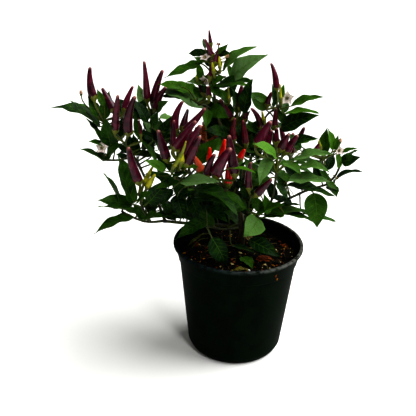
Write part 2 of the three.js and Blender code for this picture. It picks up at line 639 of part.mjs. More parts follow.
// The bunches of fruits. Each has its hub on a twig. A fruit is its base, its tip, its width in mm, and how far it
// bows to the right, as a share of its length, where that is its own.
const PURPLE = '#3a0f33';
const RED = '#b3140f';
const YOUNG = '#8f9330';
const BUNCHES = [
  {
    name: 'left_tip_purple',
    twig: 'left_tip',
    hub: [104, 122, 5],
    paint: PURPLE,
    fruits: [
      [[94, 99, 2], [90, 67, 10], 10, -0.06],
      [[115, 112, 0], [102, 88, 14], 10],
      [[124, 111, 8], [133, 86, 16], 8, -0.04],
    ],
  },
  {
    name: 'left_inner_purple',
    twig: 'left_tip',
    hub: [125, 144, 0],
    paint: PURPLE,
    fruits: [
      [[115, 132, -6], [118, 95, -10], 9.5],
      [[128, 134, -9], [135, 96, -12], 12, -0.07],
    ],
  },
  {
    name: 'left_low_purple',
    twig: 'left_low',
    hub: [139, 194, -38],
    paint: PURPLE,
    fruits: [[[139, 183, -42], [128, 147, -44], 12, -0.03]],
  },
  {
    name: 'left_low_young',
    twig: 'left_low',
    hub: [141, 203, -36],
    paint: YOUNG,
    fruits: [
      [[144, 184, -32], [153, 166, -30], 6],
      [[147, 188, -36], [155, 174, -42], 7.5],
    ],
  },
  {
    name: 'left_back_purple',
    twig: 'left_back',
    hub: [152, 114, 50],
    paint: PURPLE,
    fruits: [
      [[147, 101, 46], [144, 61, 46], 9, 0.01],
      [[153, 105, 48], [163, 70, 48], 10.5, -0.04],
      [[155, 110, 42], [166, 87, 36], 10, -0.06],
    ],
  },
  {
    name: 'mid_left_high_purple',
    twig: 'mid_left_high',
    hub: [181, 136, 0],
    paint: PURPLE,
    fruits: [
      [[175, 131, 4], [183, 101, 8], 10, -0.1],
      [[182, 130, 10], [188, 109, 20], 8.5],
      [[184, 131, -4], [205, 108, -12], 9.5, 0.03],
    ],
  },
  {
    name: 'mid_left_purple',
    twig: 'mid_left',
    hub: [177, 162, -28],
    paint: PURPLE,
    fruits: [
      [[173, 147, -30], [174, 120, -28], 7.5],
      [[167, 160, -34], [158, 130, -38], 11.5],
      [[174, 149, -38], [196, 121, -42], 11],
    ],
  },
  {
    name: 'mid_left_young',
    twig: 'mid_left',
    hub: [184, 169, -25],
    paint: YOUNG,
    fruits: [
      [[178, 155, -18], [185, 141, -16], 6.5],
      [[180, 162, -34], [182, 153, -36], 9.5],
    ],
  },
  {
    name: 'front_left_purple',
    twig: 'front_left',
    hub: [175, 177, -46],
    paint: PURPLE,
    fruits: [
      [[182, 157, -50], [201, 125, -54], 11.5],
      [[187, 165, -56], [200, 136, -62], 11],
    ],
  },
  {
    name: 'centre_front_purple',
    twig: 'centre_front',
    hub: [214, 181, -35],
    paint: PURPLE,
    fruits: [
      [[207, 176, -44], [215, 154, -50], 9.5, -0.06],
      [[215, 176, -48], [231, 148, -54], 14.5, -0.04],
      [[235, 175, -46], [229, 135, -46], 12.5],
    ],
  },
  {
    name: 'centre_front_red',
    twig: 'centre_front',
    hub: [224, 188, -26],
    paint: RED,
    fruits: [
      [[202, 172, -30], [194, 156, -34], 10.5],
      [[209, 163, -26], [210, 147, -24], 7],
      [[221, 160, -30], [225, 139, -30], 8.5],
      [[229, 185, -36], [228, 164, -38], 9],
      [[239, 160, -26], [245, 149, -26], 8],
    ],
  },
  {
    name: 'front_right_purple',
    twig: 'front_right',
    hub: [251, 196, -43],
    paint: PURPLE,
    fruits: [
      [[249, 189, -48], [251, 162, -52], 9, -0.05],
      [[256, 195, -52], [272, 179, -58], 9.5],
    ],
  },
  {
    name: 'top_purple',
    twig: 'top',
    hub: [210, 64, 18],
    paint: PURPLE,
    fruits: [
      [[211, 46, 18], [209, 30, 19], 4.5],
      [[213, 57, 12], [205, 39, 8], 6],
      [[214, 66, 24], [219, 49, 30], 7],
    ],
  },
  {
    name: 'top_young',
    twig: 'top',
    hub: [212, 79, 18],
    paint: YOUNG,
    fruits: [
      [[213, 71, 12], [212, 61, 10], 5],
      [[220, 66, 20], [219, 55, 22], 5.5],
    ],
  },
  {
    name: 'upper_left_purple',
    twig: 'upper_left',
    hub: [199, 103.5, 9.3],
    paint: PURPLE,
    fruits: [
      [[209, 97, 2], [209, 86, 0], 5.5],
      [[204, 95, 16], [198, 82, 22], 6],
    ],
  },
  {
    name: 'centre_high_purple',
    twig: 'centre_high',
    hub: [237, 126, 24],
    paint: PURPLE,
    fruits: [
      [[232, 120, 18], [220, 99, 14], 9],
      [[238, 110, 24], [242, 85, 28], 9],
      [[245, 121, 22], [246, 98, 22], 7],
    ],
  },
  {
    name: 'centre_high_maroon',
    twig: 'centre_high',
    hub: [231.5, 143, 17],
    paint: '#5a0d1c',
    fruits: [
      [[233, 141, 8], [235, 118, 4], 9, -0.05],
      [[246, 145, 12], [243, 120, 8], 9],
    ],
  },
  {
    name: 'right_high_purple',
    twig: 'right_high',
    hub: [277, 108, 38],
    paint: PURPLE,
    fruits: [
      [[276, 91, 40], [271, 63, 46], 8.5, 0.06],
      [[267, 106, 30], [272, 92, 28], 7.5, -0.04],
    ],
  },
  {
    name: 'right_inner_purple',
    twig: 'right_high',
    hub: [263, 123, 35],
    paint: PURPLE,
    fruits: [
      [[261, 128, 24], [251, 108, 18], 8, 0.08],
      [[275, 127, 28], [276, 108, 24], 7.5],
    ],
  },
  {
    name: 'right_mid_purple',
    twig: 'right_mid',
    hub: [277, 168, -26],
    paint: PURPLE,
    fruits: [
      [[257, 145, -28], [271, 121, -30], 12.5],
      [[266, 150, -20], [272, 130, -16], 9],
      [[276, 144, -22], [277, 128, -20], 8],
      [[280, 150, -34], [289, 134, -38], 10],
      [[285, 153, -28], [298, 135, -28], 10.5],
    ],
  },
  {
    name: 'far_right_purple',
    twig: 'far_right',
    hub: [322, 158, 5],
    paint: PURPLE,
    fruits: [[[314, 153, 0], [320, 143, -2], 6.5]],
  },
];

// Open flowers, each by its centre, the place that it looks towards, and the length of a petal in mm.
const FLOWERS = [
  { name: 'left_flower', twig: 'left_tip', centre: [102, 148, -6], towards: [90, 146, -30], size: 7 },
  { name: 'top_flower', twig: 'top', centre: [206, 58, 8], towards: [202, 58, -20], size: 7 },
  { name: 'top_side_flower', twig: 'top', centre: [204, 79, 10], towards: [194, 74, -5], size: 7 },
  { name: 'right_flower', twig: 'right_high', centre: [288, 98, 28], towards: [289, 98, -10], size: 7.5 },
  { name: 'far_right_flower', twig: 'far_right', centre: [340, 152, 6], towards: [341, 138, 0], size: 7.5 },
];

// Closed buds that stand on the twigs beside the bunches.
const BUDS = [
  { name: 'left_bud', twig: 'left_tip', base: [81, 95, 10], tip: [81, 90, 10], width: 4 },
  { name: 'top_bud', twig: 'top', base: [227, 59, 16], tip: [227, 53, 16], width: 4.5 },
  { name: 'far_right_bud', twig: 'far_right', base: [340, 143, 12], tip: [341, 138, 12], width: 4 },
];

// Bark chips and fallen leaves on the mix, by their spots in mm from the pot's axis.
const CHIPS = [
  { name: 'front_bark_chip', x: 33, y: -14, length: 20, breadth: 14, turn: 20 },
  { name: 'left_bark_chip', x: -53, y: 11, length: 12, breadth: 8, turn: 110 },
  { name: 'right_bark_chip', x: 58, y: 24, length: 12, breadth: 8, turn: 65 },
];
const FALLEN = [
  { name: 'fallen_green_leaf', foot: [2, -14], tip: [19, -40], breadth: 16, paint: '#1f4a1c' },
  { name: 'fallen_dry_leaf', foot: [-7, -48], tip: [14, -47], breadth: 9, paint: '#6b5a1d' },
];

// The twigs at the back. Each starts at a place of the sheet on the stem and ends at a point in mm. It carries its
// leaves and its fruits by a rule, with a seed of its own.
const BACK_TWIGS = [
  { name: 'back_left', root: [222, 132, 13.6], end: [-62, 78, 224], seed: 11, leaves: 5, fruits: 3 },
  { name: 'back_low_left', root: [205, 223.8, -7.4], end: [-48, 74, 170], seed: 23, leaves: 5, fruits: 0 },
  { name: 'back_middle', root: [233, 175, 9.5], end: [12, 96, 214], seed: 37, leaves: 6, fruits: 0 },
  { name: 'back_right', root: [246, 169, 21], end: [68, 92, 222], seed: 41, leaves: 5, fruits: 3 },
];
const BACK_RULE = {
  first: 0.38, // share of the run at which the lowest leaf stands
  sag: -0.06,
  spread: [35, 80], // how far a leaf turns out from the twig's own heading, in degrees, to one side and the other
  length: [38, 52],
  stalk: 12,
  lift: [1, 7], // how far the blade's foot stands above the twig
  droop: [-16, 2],
  hub: 0.9, // share of the run at which a bunch stands
  fruit: { length: 33, width: 10, stalk: 13, lean: 0.42 },
};

// ---------------------------------------------------------------- growing and fitting

// A row of the tables above with its places turned into points.
const place = (spot) => (spot.isVector3 ? spot : at(spot));
const readLeaf = ([base, tip, seen, arch]) => ({ base: place(base), tip: place(tip), seen, arch });
const readFruit = ([base, tip, width, bow]) => ({ base: place(base), tip: place(tip), width, bow });

// A twig of the back as a row like those of TWIGS: its leaves stand out to its two sides in turn.
function backTwig({ name, root, end, seed, leaves }) {
  const draw = dice(seed);
  const start = at(root);
  const tip = new THREE.Vector3(...end);
  const reach = start.distanceTo(tip);
  const middle = start.clone().lerp(tip, 0.5).addScaledVector(UP, BACK_RULE.sag * reach);
  const run = smooth([start, middle, tip]);
  const level = tip.clone().sub(start).setZ(0).normalize();
  const rows = Array.from({ length: leaves }, (_, k) => {
    const last = k === leaves - 1;
    const share = BACK_RULE.first + ((1 - BACK_RULE.first) * k) / (leaves - 1);
    const turn = (k % 2 ? 1 : -1) * draw(...BACK_RULE.spread) * (last ? 0.2 : 1);
    const out = level.clone().applyAxisAngle(UP, THREE.MathUtils.degToRad(turn));
    const base = run.getPoint(share).addScaledVector(out, BACK_RULE.stalk);
    base.addScaledVector(UP, draw(...BACK_RULE.lift));
    const point = base.clone().addScaledVector(out, draw(...BACK_RULE.length));
    return [base, point.addScaledVector(UP, draw(...BACK_RULE.droop))];
  });
  return { name, runs: [[start, middle, tip]], leaves: rows };
}

// The bunch that a twig of the back carries near its end, its fruits fanned round its hub.
function backBunch({ name, fruits }) {
  const [[start, middle, tip]] = TWIGS_OF_BACK.find((twig) => twig.name === name).runs;
  const hub = smooth([start, middle, tip]).getPoint(BACK_RULE.hub);
  const rows = Array.from({ length: fruits }, (_, k) => {
    const { length, width, stalk: reach, lean } = BACK_RULE.fruit;
    const out = BACK.clone().applyAxisAngle(UP, (2 * Math.PI * (k + 0.5)) / fruits);
    const along = UP.clone().addScaledVector(out, lean).normalize();
    const base = hub.clone().addScaledVector(along, reach);
    return [base, base.clone().addScaledVector(along, length), width];
  });
  return { name: name + '_purple', twig: name, hub, paint: PURPLE, fruits: rows };
}

const TWIGS_OF_BACK = BACK_TWIGS.map(backTwig);
const ALL_TWIGS = [...TWIGS, ...TWIGS_OF_BACK];
const ALL_BUNCHES = [...BUNCHES, ...BACK_TWIGS.filter(({ fruits }) => fruits > 0).map(backBunch)];

// The bare stems of one twig or of the whole plant, swollen by grow.
function wood(runs, radius, grow) {
  return union(
    runs.map((run, k) => {
      const { from, to } = radius(k);
      return stem(run.map(place), (share) => from + (to - from) * share + grow, WOOD.sides);
    }),
  );
}

const mainStem = (grow) => wood(LIMBS.map((limb) => limb.run), (k) => LIMBS[k], grow);
const twigWood = (twig, grow) => wood(twig.runs, () => WOOD.twig, grow);

// Spots along the middle of a twig's wood, and the one of them that is nearest to a point.
const spotsOn = ({ runs }) =>
  runs.flatMap((run) => {
    const middles = stretches(smooth(run.map(place)));
    return middles.slice(1).flatMap((end, k) => LEAF.feet.map((share) => middles[k].clone().lerp(end, share)));
  });
const nearest = (spots, point) => spots.reduce((a, b) => (a.distanceTo(point) <= b.distanceTo(point) ? a : b));

// The leaves of a twig. Each stands on the nearest point of the twig's wood that is clear of the bunches' collars
// and of the twig's own root.
function foliage(twig, grow) {
  const hubs = ALL_BUNCHES.filter((item) => item.twig === twig.name).map(({ hub }) => place(hub));
  const roots = twig.runs.map((run) => place(run[0]));
  const taken = [...roots, ...hubs];
  const clear = spotsOn(twig).filter((spot) => taken.every((point) => point.distanceTo(spot) > LEAF.aside));
  return twig.leaves.map(readLeaf).map((leaf) => leafSkin(leaf, nearest(clear, leaf.base), grow));
}

// A bunch of fruits on one hub, which is a collar round its twig.
function bunch({ hub, fruits }, grow) {
  const centre = place(hub);
  const base = centre.clone().addScaledVector(UP, -FRUIT.hub);
  const tip = centre.clone().addScaledVector(UP, FRUIT.hub);
  const collar = egg({ base, tip, width: 2 * FRUIT.hub }, grow);
  return union([collar, ...fruits.map((row) => fruit(readFruit(row), centre, grow))]);
}

// A flower or a bud of the tables above on the nearest spot of its twig.
function blossom(item, grow) {
  const spots = spotsOn(ALL_TWIGS.find(({ name }) => name === item.twig));
  if (item.size === undefined) {
    const [base, tip] = [at(item.base), at(item.tip)];
    return bud({ base, tip, width: item.width }, nearest(spots, base), grow);
  }
  const centre = at(item.centre);
  const facing = heading(centre, at(item.towards));
  return flower({ centre, facing, size: item.size }, nearest(spots, centre), grow);
}

function mesh(name, body, colour, roughness) {
  const { vertProperties, triVerts } = body.getMesh();
  const geometry = new THREE.BufferGeometry();
  geometry.setAttribute('position', new THREE.BufferAttribute(vertProperties, 3));
  geometry.setIndex(new THREE.BufferAttribute(triVerts, 1));
  geometry.computeVertexNormals();
  const made = new THREE.Mesh(geometry, new THREE.MeshStandardMaterial({ color: colour, roughness, metalness: 0 }));
  made.name = name;
  return made;
}

// Every body of the plant, grown in the order in which one makes room for the next: the stem, the twigs' wood,
// the bunches, the flowers and buds, and last the leaves, which are joined to their own twig's wood.
function plant() {
  const rooms = { main_stem: mainStem(CLEARANCE) };
  const bodies = { main_stem: tidy(mainStem(0)) };
  const others = (name) => union(Object.keys(rooms).filter((key) => key !== name).map((key) => rooms[key]));

  for (const twig of ALL_TWIGS) {
    bodies[twig.name] = twigWood(twig, 0).subtract(others());
    rooms[twig.name] = twigWood(twig, CLEARANCE);
  }
  for (const item of ALL_BUNCHES) {
    bodies[item.name] = tidy(bunch(item, 0).subtract(others()));
    rooms[item.name] = bunch(item, CLEARANCE);
  }
  for (const item of [...FLOWERS, ...BUDS]) {
    bodies[item.name] = tidy(blossom(item, 0).subtract(others()));
    rooms[item.name] = blossom(item, CLEARANCE);
  }
  for (const twig of ALL_TWIGS) {
    const leaves = union(foliage(twig, 0)).subtract(others(twig.name));
    bodies[twig.name] = tidy(bodies[twig.name].add(leaves));
    rooms[twig.name] = union([rooms[twig.name], ...foliage(twig, CLEARANCE)]);
  }
  return bodies;
}

// What lies on the mix, and the mix with a bed for each of them and a hole for the stem.
function ground() {
  const rooms = [mainStem(CLEARANCE)];
  const bodies = {};
  for (const row of [...CHIPS, ...FALLEN]) {
    const lying = CHIPS.includes(row) ? barkChip : fallenLeaf;
    bodies[row.name] = tidy(lying(row, 0).subtract(union(rooms)));
    rooms.push(lying(row, CLEARANCE));
  }
  bodies.potting_mix = tidy(pottingMix().subtract(union(rooms)));
  return bodies;
}

const part = new THREE.Group();
const bodies = { ...plant(), ...ground() };
part.add(mesh('pot', pot(), '#10140f', 0.5));
part.add(mesh('potting_mix', bodies.potting_mix, '#241d14', 0.95));
part.add(mesh('main_stem', bodies.main_stem, '#2c3a17', 0.6));
for (const { name } of ALL_TWIGS) part.add(mesh(name + '_twig', bodies[name], '#1f4a1c', 0.45));
for (const { name, paint } of ALL_BUNCHES) part.add(mesh(name + '_fruits', bodies[name], paint, 0.25));
for (const { name } of FLOWERS) part.add(mesh(name, bodies[name], '#e6e2dc', 0.6));
for (const { name } of BUDS) part.add(mesh(name, bodies[name], '#c9a7a4', 0.6));
for (const { name } of CHIPS) part.add(mesh(name, bodies[name], '#6b3a1c', 0.9));
for (const { name, paint } of FALLEN) part.add(mesh(name, bodies[name], paint, 0.6));

export default part;
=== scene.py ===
import logging
import math
from dataclasses import dataclass, field
from enum import Enum
from typing import Callable, Sequence

import bmesh
import bpy
from mathutils import Matrix, Vector, noise


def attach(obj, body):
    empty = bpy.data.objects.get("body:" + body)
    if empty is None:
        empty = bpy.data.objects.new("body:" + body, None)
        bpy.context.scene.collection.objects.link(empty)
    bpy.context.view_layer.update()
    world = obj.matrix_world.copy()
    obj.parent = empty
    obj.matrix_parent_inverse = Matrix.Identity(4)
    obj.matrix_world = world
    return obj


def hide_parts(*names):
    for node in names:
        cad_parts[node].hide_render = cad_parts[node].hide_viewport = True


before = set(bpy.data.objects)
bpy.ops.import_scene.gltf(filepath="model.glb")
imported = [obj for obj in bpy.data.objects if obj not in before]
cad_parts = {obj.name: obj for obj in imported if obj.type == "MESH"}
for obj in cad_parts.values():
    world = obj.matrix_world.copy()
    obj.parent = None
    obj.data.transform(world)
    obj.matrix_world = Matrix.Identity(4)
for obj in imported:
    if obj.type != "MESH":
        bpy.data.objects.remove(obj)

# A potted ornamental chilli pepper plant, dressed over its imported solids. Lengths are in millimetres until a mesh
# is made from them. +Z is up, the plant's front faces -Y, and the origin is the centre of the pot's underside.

LOG = logging.getLogger("chilli_plant")
MM = 0.001
UP = Vector((0, 0, 1))
BACK = Vector((0, 1, 0))
STALK_BEND = 0.33  # how far along a stalk the direction at each end is felt, as a share of its length

Place = tuple[float, float, float]
Row = list[Vector]


# ---------------------------------------------------------------- numbers and places


class Dice:
    """A seeded source of numbers, the same on every run."""

    def __init__(self, seed: int | str) -> None:
        """Starts the row of numbers.

        Args:
            seed: A number, or a name whose letters make one.
        """
        if isinstance(seed, str):
            seed = sum(ord(letter) * (k + 1) for k, letter in enumerate(seed))
        self.state = seed

    def draw(self, low: float, high: float) -> float:
        """Returns the next number from low to high."""
        self.state = (self.state * 1664525 + 1013904223) % 2**32
        return low + (high - low) * self.state / 2**32


@dataclass(frozen=True)
class Sheet:
    """The perspective front elevation that the plant's places are drawn on, 416 units a side.

    A place on it is (across, down, depth), with the depth in mm behind the pot's axis.
    """

    eye: Place = (0, -802, 552)
    yaw: float = -2.76
    pitch: float = -24.47
    roll: float = 1.67
    units: float = 728
    middle: float = 208
    side: float = 416

    def axes(self) -> tuple[Vector, Vector, Vector]:
        """Works out which ways the sheet lies.

        Returns:
            The directions to the right, up and ahead.
        """
        ahead = Matrix.Rotation(math.radians(self.pitch), 3, "X") @ BACK
        ahead.rotate(Matrix.Rotation(math.radians(-self.yaw), 3, "Z"))
        right = ahead.cross(UP).normalized()
        right.rotate(Matrix.Rotation(math.radians(-self.roll), 3, ahead))
        return right, right.cross(ahead), ahead

    def at(self, place: Place) -> Vector:
        """Finds a place on the sheet in space.

        Args:
            place: The place.

        Returns:
            The point.
        """
        right, up, ahead = self.axes()
        across, down, depth = place
        ray = ahead + right * ((across - self.middle) / self.units) + up * ((self.middle - down) / self.units)
        eye = Vector(self.eye)
        return eye + ray * ((depth - eye.y) / ray.y)

    def on_level(self, across: float, down: float, height: float) -> Vector:
        """Returns the point of a place on the sheet that lies at a height in mm."""
        near, far = self.at((across, down, 0)), self.at((across, down, 100))
        return near.lerp(far, (height - near.z) / (far.z - near.z))

    def unit_at(self, point: Vector) -> float:
        """Returns the length in mm that one unit of the sheet shows at a point."""
        return (point - Vector(self.eye)).dot(self.axes()[2]) / self.units


SHEET = Sheet()


def spot(place: Place | Vector) -> Vector:
    """Returns the point of a place on the sheet, or a copy of what already is a point."""
    return place.copy() if isinstance(place, Vector) else SHEET.at(place)


def swell(share: float, rise: float, fall: float) -> float:
    """Returns the share of its greatest girth that a body has some share of the way along it."""
    peak = rise / (rise + fall)
    return (share / peak) ** rise * (max(0.0, 1 - share) / (1 - peak)) ** fall


def ease(value: float, low: float, high: float) -> float:
    """Returns 0 below low, 1 above high and a smooth step between them."""
    step = min(1.0, max(0.0, (value - low) / (high - low)))
    return step * step * (3 - 2 * step)


def square_to(direction: Vector, hint: Vector) -> Vector:
    """Returns the unit direction nearest to a hint that is square to another direction."""
    return (hint - direction * hint.dot(direction)).normalized()


class SmoothRun:
    """A smooth curve through points, measured along its length."""

    STEPS = 200

    def __init__(self, points: Sequence[Vector]) -> None:
        """Fits the curve.

        Args:
            points: The points that the curve passes through, two or more.
        """
        self.points = [point.copy() for point in points]
        spots = [self.point(k / self.STEPS) for k in range(self.STEPS + 1)]
        self.lengths = [0.0]
        for before, after in zip(spots, spots[1:]):
            self.lengths.append(self.lengths[-1] + (after - before).length)

    def point(self, share: float) -> Vector:
        """Finds a point by the count of stretches.

        Args:
            share: How far along it is, from 0 to 1.

        Returns:
            The point.
        """
        last = len(self.points) - 1
        place = share * last
        k = min(last - 1, int(place))
        t = place - k
        one, two = self.points[k], self.points[k + 1]
        zero = self.points[k - 1] if k > 0 else one * 2 - two
        three = self.points[k + 2] if k + 2 <= last else two * 2 - one
        d0, d1, d2 = (max(1e-4, (b - a).length_squared) ** 0.25 for a, b in ((zero, one), (one, two), (two, three)))
        start = ((one - zero) / d0 - (two - zero) / (d0 + d1) + (two - one) / d1) * d1
        end = ((two - one) / d1 - (three - one) / (d1 + d2) + (three - two) / d2) * d1
        bend = (two - one) * 3 - start * 2 - end
        twist = (one - two) * 2 + start + end
        return one + start * t + bend * t**2 + twist * t**3

    def along(self, share: float) -> Vector:
        """Finds a point by the length of the curve.

        Args:
            share: How far along it is, from 0 to 1.

        Returns:
            The point.
        """
        want = share * self.lengths[-1]
        k = max(i for i, length in enumerate(self.lengths[:-1]) if length <= want + 1e-9)
        gap = self.lengths[k + 1] - self.lengths[k]
        return self.point((k + (want - self.lengths[k]) / gap) / self.STEPS)

    def spaced(self, step: float) -> Row:
        """Returns points along the curve about a step apart."""
        count = max(1, math.floor(self.lengths[-1] / step + 0.5))
        return [self.along(k / count) for k in range(count + 1)]


def stalk_run(foot: Vector, top: Vector, leaving: Vector, arriving: Vector) -> Row:
    """Returns points along a stalk that leaves its foot one way and reaches its top another.

    Args:
        foot: Where the stalk starts.
        top: Where it ends.
        leaving: The unit direction in which it leaves its foot.
        arriving: The unit direction in which it reaches its top.

    Returns:
        Seven points from foot to top.
    """
    reach = (top - foot).length * STALK_BEND
    handles = (foot, foot + leaving * reach, top - arriving * reach, top)
    row = []
    for k in range(7):
        t = k / 6
        weights = ((1 - t) ** 3, 3 * t * (1 - t) ** 2, 3 * t * t * (1 - t), t**3)
        row.append(sum((point * weight for point, weight in zip(handles, weights)), Vector()))
    return row


# ---------------------------------------------------------------- drafting meshes


class Draft:
    """The skins of one piece in mm, before they become its mesh.

    Each corner keeps its place on its skin, across and along from 0 to 1, and each point a tint: three numbers
    that its finish reads.
    """

    def __init__(self) -> None:
        """Starts with no skins."""
        self.points: Row = []
        self.tints: list[Place] = []
        self.faces: list[tuple[int, ...]] = []
        self.corners: list[tuple[float, float]] = []
        self.finishes: list[int] = []

    def skin(
        self,
        rows: Sequence[Row],
        finish: int | Callable[[float], int] = 0,
        tint: Place | Callable[[int, int], Place] = (0, 0, 0),
        across: Sequence[float] | None = None,
        along: Sequence[float] | None = None,
    ) -> None:
        """Adds a closed skin over rings of points, with a fan over each end.

        Args:
            rows: The rings, each of as many points.
            finish: The number of the finish, or what gives it for a share of the way round.
            tint: The tint of the whole skin, or what gives it for a ring and a point of it.
            across: The place across the skin of each point of a ring, where it isn't its share of the way round.
            along: The place along the skin of each ring, where it isn't its share of the rings.
        """
        first = len(self.points)
        sides = len(rows[0])
        last = len(rows) - 1
        tint_at = tint if callable(tint) else lambda i, j: tint
        finish_at = finish if callable(finish) else lambda share: finish
        across = across or [j / sides for j in range(sides)]
        along = along or [i / last for i in range(last + 1)]
        for i, row in enumerate(rows):
            self.points += row
            self.tints += [tint_at(i, j) for j in range(sides)]
        for i in range(last):
            for j in range(sides):
                k = (j + 1) % sides
                self.faces.append(tuple(first + a * sides + b for a, b in ((i, j), (i, k), (i + 1, k), (i + 1, j))))
                left, right = across[j], across[k] if k else max(across[k], across[j])
                self.corners += [(left, along[i]), (right, along[i]), (right, along[i + 1]), (left, along[i + 1])]
                self.finishes.append(finish_at((j + 0.5) / sides))
        for i in (0, last):
            middle = sum(rows[i], Vector()) / sides
            self.points.append(middle)
            self.tints.append(tint_at(i, 0))
            hub = len(self.points) - 1
            for j in range(sides):
                k = (j + 1) % sides
                edge = (first + i * sides + j, first + i * sides + k)
                self.faces.append((*(edge if i else reversed(edge)), hub))
                self.corners += [(across[j], along[i])] * 3
                self.finishes.append(finish_at((j + 0.5) / sides))

    def tube(
        self,
        middles: Row,
        radius: Callable[[float], float],
        sides: int = 10,
        ribs: tuple[int, float] = (1, 0.0),
        **facts: object,
    ) -> None:
        """Adds a closed tube along a row of points.

        Args:
            middles: The points along its middle.
            radius: Gives its radius in mm at a share of the way.
            sides: How many points each ring has.
            ribs: How many ribs run along it, and how proud they are as a share of its radius.
            facts: The finish, tint, across and along that skin() takes.
        """
        hint = BACK
        rows = []
        last = len(middles) - 1
        for k, middle in enumerate(middles):
            direction = (middles[min(last, k + 1)] - middles[max(0, k - 1)]).normalized()
            if abs(direction.dot(hint)) > 0.98:
                hint = UP if abs(direction.z) < 0.9 else Vector((1, 0, 0))
            hint = square_to(direction, hint)
            other = direction.cross(hint)
            row = []
            for j in range(sides):
                angle = math.tau * j / sides
                reach = radius(k / last) * (1 + ribs[1] * math.cos(ribs[0] * angle))
                row.append(middle + hint * (reach * math.cos(angle)) + other * (reach * math.sin(angle)))
            rows.append(row)
        self.skin(rows, **facts)

    def lump(self, middle: Vector, size: Vector, turn: Matrix, draw: Dice, rough: float = 0.3, **facts: object) -> None:
        """Adds a small uneven lump.

        Args:
            middle: Its middle.
            size: Its half sizes.
            turn: How it is turned.
            draw: Where its unevenness comes from.
            rough: How uneven it is, as a share of its size.
            facts: The finish and tint that skin() takes.
        """
        seed = Vector((draw.draw(0, 90), draw.draw(0, 90), draw.draw(0, 90)))
        rows = []
        for i in range(5):
            polar = math.pi * (0.08 + 0.84 * i / 4)
            row = []
            for j in range(7):
                angle = math.tau * (j + 0.5 * (i % 2)) / 7
                way = Vector((math.sin(polar) * math.cos(angle), math.sin(polar) * math.sin(angle), math.cos(polar)))
                reach = 1 + rough * noise.noise(seed + way * 1.6)
                row.append(middle + turn @ Vector([a * b * reach for a, b in zip(way, size)]))
            rows.append(row)
        self.skin(rows, **facts)

    def piece(
        self,
        name: str,
        slot: str,
        finishes: Sequence[object],
        replaces: Sequence[str] = (),
        crease: float = 50,
    ) -> bpy.types.Object:
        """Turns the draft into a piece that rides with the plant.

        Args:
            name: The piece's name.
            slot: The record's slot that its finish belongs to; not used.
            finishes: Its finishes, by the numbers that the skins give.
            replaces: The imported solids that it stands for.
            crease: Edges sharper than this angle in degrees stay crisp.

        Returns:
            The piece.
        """
        mesh = bpy.data.meshes.new(name)
        mesh.from_pydata([point * MM for point in self.points], [], self.faces)
        places = mesh.uv_layers.new(name="grown")
        places.data.foreach_set("uv", [value for corner in self.corners for value in corner])
        tints = mesh.color_attributes.new("tint", "FLOAT_COLOR", "POINT")
        tints.data.foreach_set("color", [value for tint in self.tints for value in (*tint, 1.0)])
        mesh.polygons.foreach_set("material_index", self.finishes)
        for finish in finishes:
            mesh.materials.append(PALETTE.get(finish))
        work = bmesh.new()
        work.from_mesh(mesh)
        bmesh.ops.recalc_face_normals(work, faces=work.faces)
        work.to_mesh(mesh)
        work.free()
        mesh.shade_smooth()
        mesh.set_sharp_from_angle(angle=math.radians(crease))
        made = bpy.data.objects.new(name, mesh)
        bpy.context.scene.collection.objects.link(made)
        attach(made, "root")
        if replaces:
            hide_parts(*replaces)
        return made


# ---------------------------------------------------------------- finishes


def linear(colour: str) -> tuple[float, float, float, float]:
    """Returns the linear colour of an sRGB hex value such as '#3a0f33'."""
    shares = [int(colour[k : k + 2], 16) / 255 for k in (1, 3, 5)]
    return (*[v / 12.92 if v <= 0.04045 else ((v + 0.055) / 1.055) ** 2.4 for v in shares], 1.0)


def per(size: float) -> float:
    """Returns how many patches of a size in mm fit into a metre."""
    return 1 / (size * MM)


SMOOTH = {"interpolation_type": "SMOOTHSTEP"}
COLOUR = {"data_type": "RGBA"}


class Surface:
    """A material under construction."""

    def __init__(self, name: str) -> None:
        """Starts a material with no nodes.

        Args:
            name: Its name.
        """
        self.material = bpy.data.materials.new(name)
        self.material.use_nodes = True
        self.material.node_tree.nodes.clear()
        self.place = self.add("TexCoord")["Object"]

    def add(self, kind: str, inputs: dict | None = None, **settings: object) -> bpy.types.bpy_prop_collection:
        """Adds a node to the material.

        Args:
            kind: The node's kind, without the leading ShaderNode.
            inputs: A number, a colour or another node's output for each socket, by its name or its place.
            settings: The node's own settings.

        Returns:
            The node's outputs.
        """
        tree = self.material.node_tree
        made = tree.nodes.new("ShaderNode" + kind)
        for key, value in settings.items():
            setattr(made, key, value)
        for key, value in (inputs or {}).items():
            if isinstance(value, bpy.types.NodeSocket):
                tree.links.new(value, made.inputs[key])
            else:
                made.inputs[key].default_value = value
        return made.outputs

    def close(self, bumps: Sequence[tuple[object, float]] = (), **sockets: object) -> bpy.types.Material:
        """Closes the material with its shader, over its bumps from the first to the last.

        Args:
            bumps: Heights from 0 to 1, each with how deep it is in mm.
            sockets: The shader's sockets by name, with _ for a space.

        Returns:
            The material.
        """
        shader = {key.replace("_", " "): value for key, value in sockets.items()}
        for height, depth in bumps:
            below = {"Normal": shader["Normal"]} if "Normal" in shader else {}
            shader["Normal"] = self.add("Bump", {"Distance": depth * MM, "Height": height, **below})[0]
        self.add("OutputMaterial", {"Surface": self.add("BsdfPrincipled", shader)[0]})
        return self.material


class Ripeness(Enum):
    """How far a fruit has ripened: the colours of its body, its blush, its tip and the shoulder by its cup."""

    PURPLE = ("#2e0315", "#58102a", "#b07a70", "#57501a")
    RED = ("#b80a04", "#e0240c", "#d2401c", "#b8741c")
    MAROON = ("#440614", "#741a2e", "#a05c5c", "#574a1a")
    SALMON = ("#c45a34", "#a8482c", "#d88458", "#8a6a2a")
    YOUNG = ("#66720c", "#a6a21a", "#a89222", "#6a7a16")


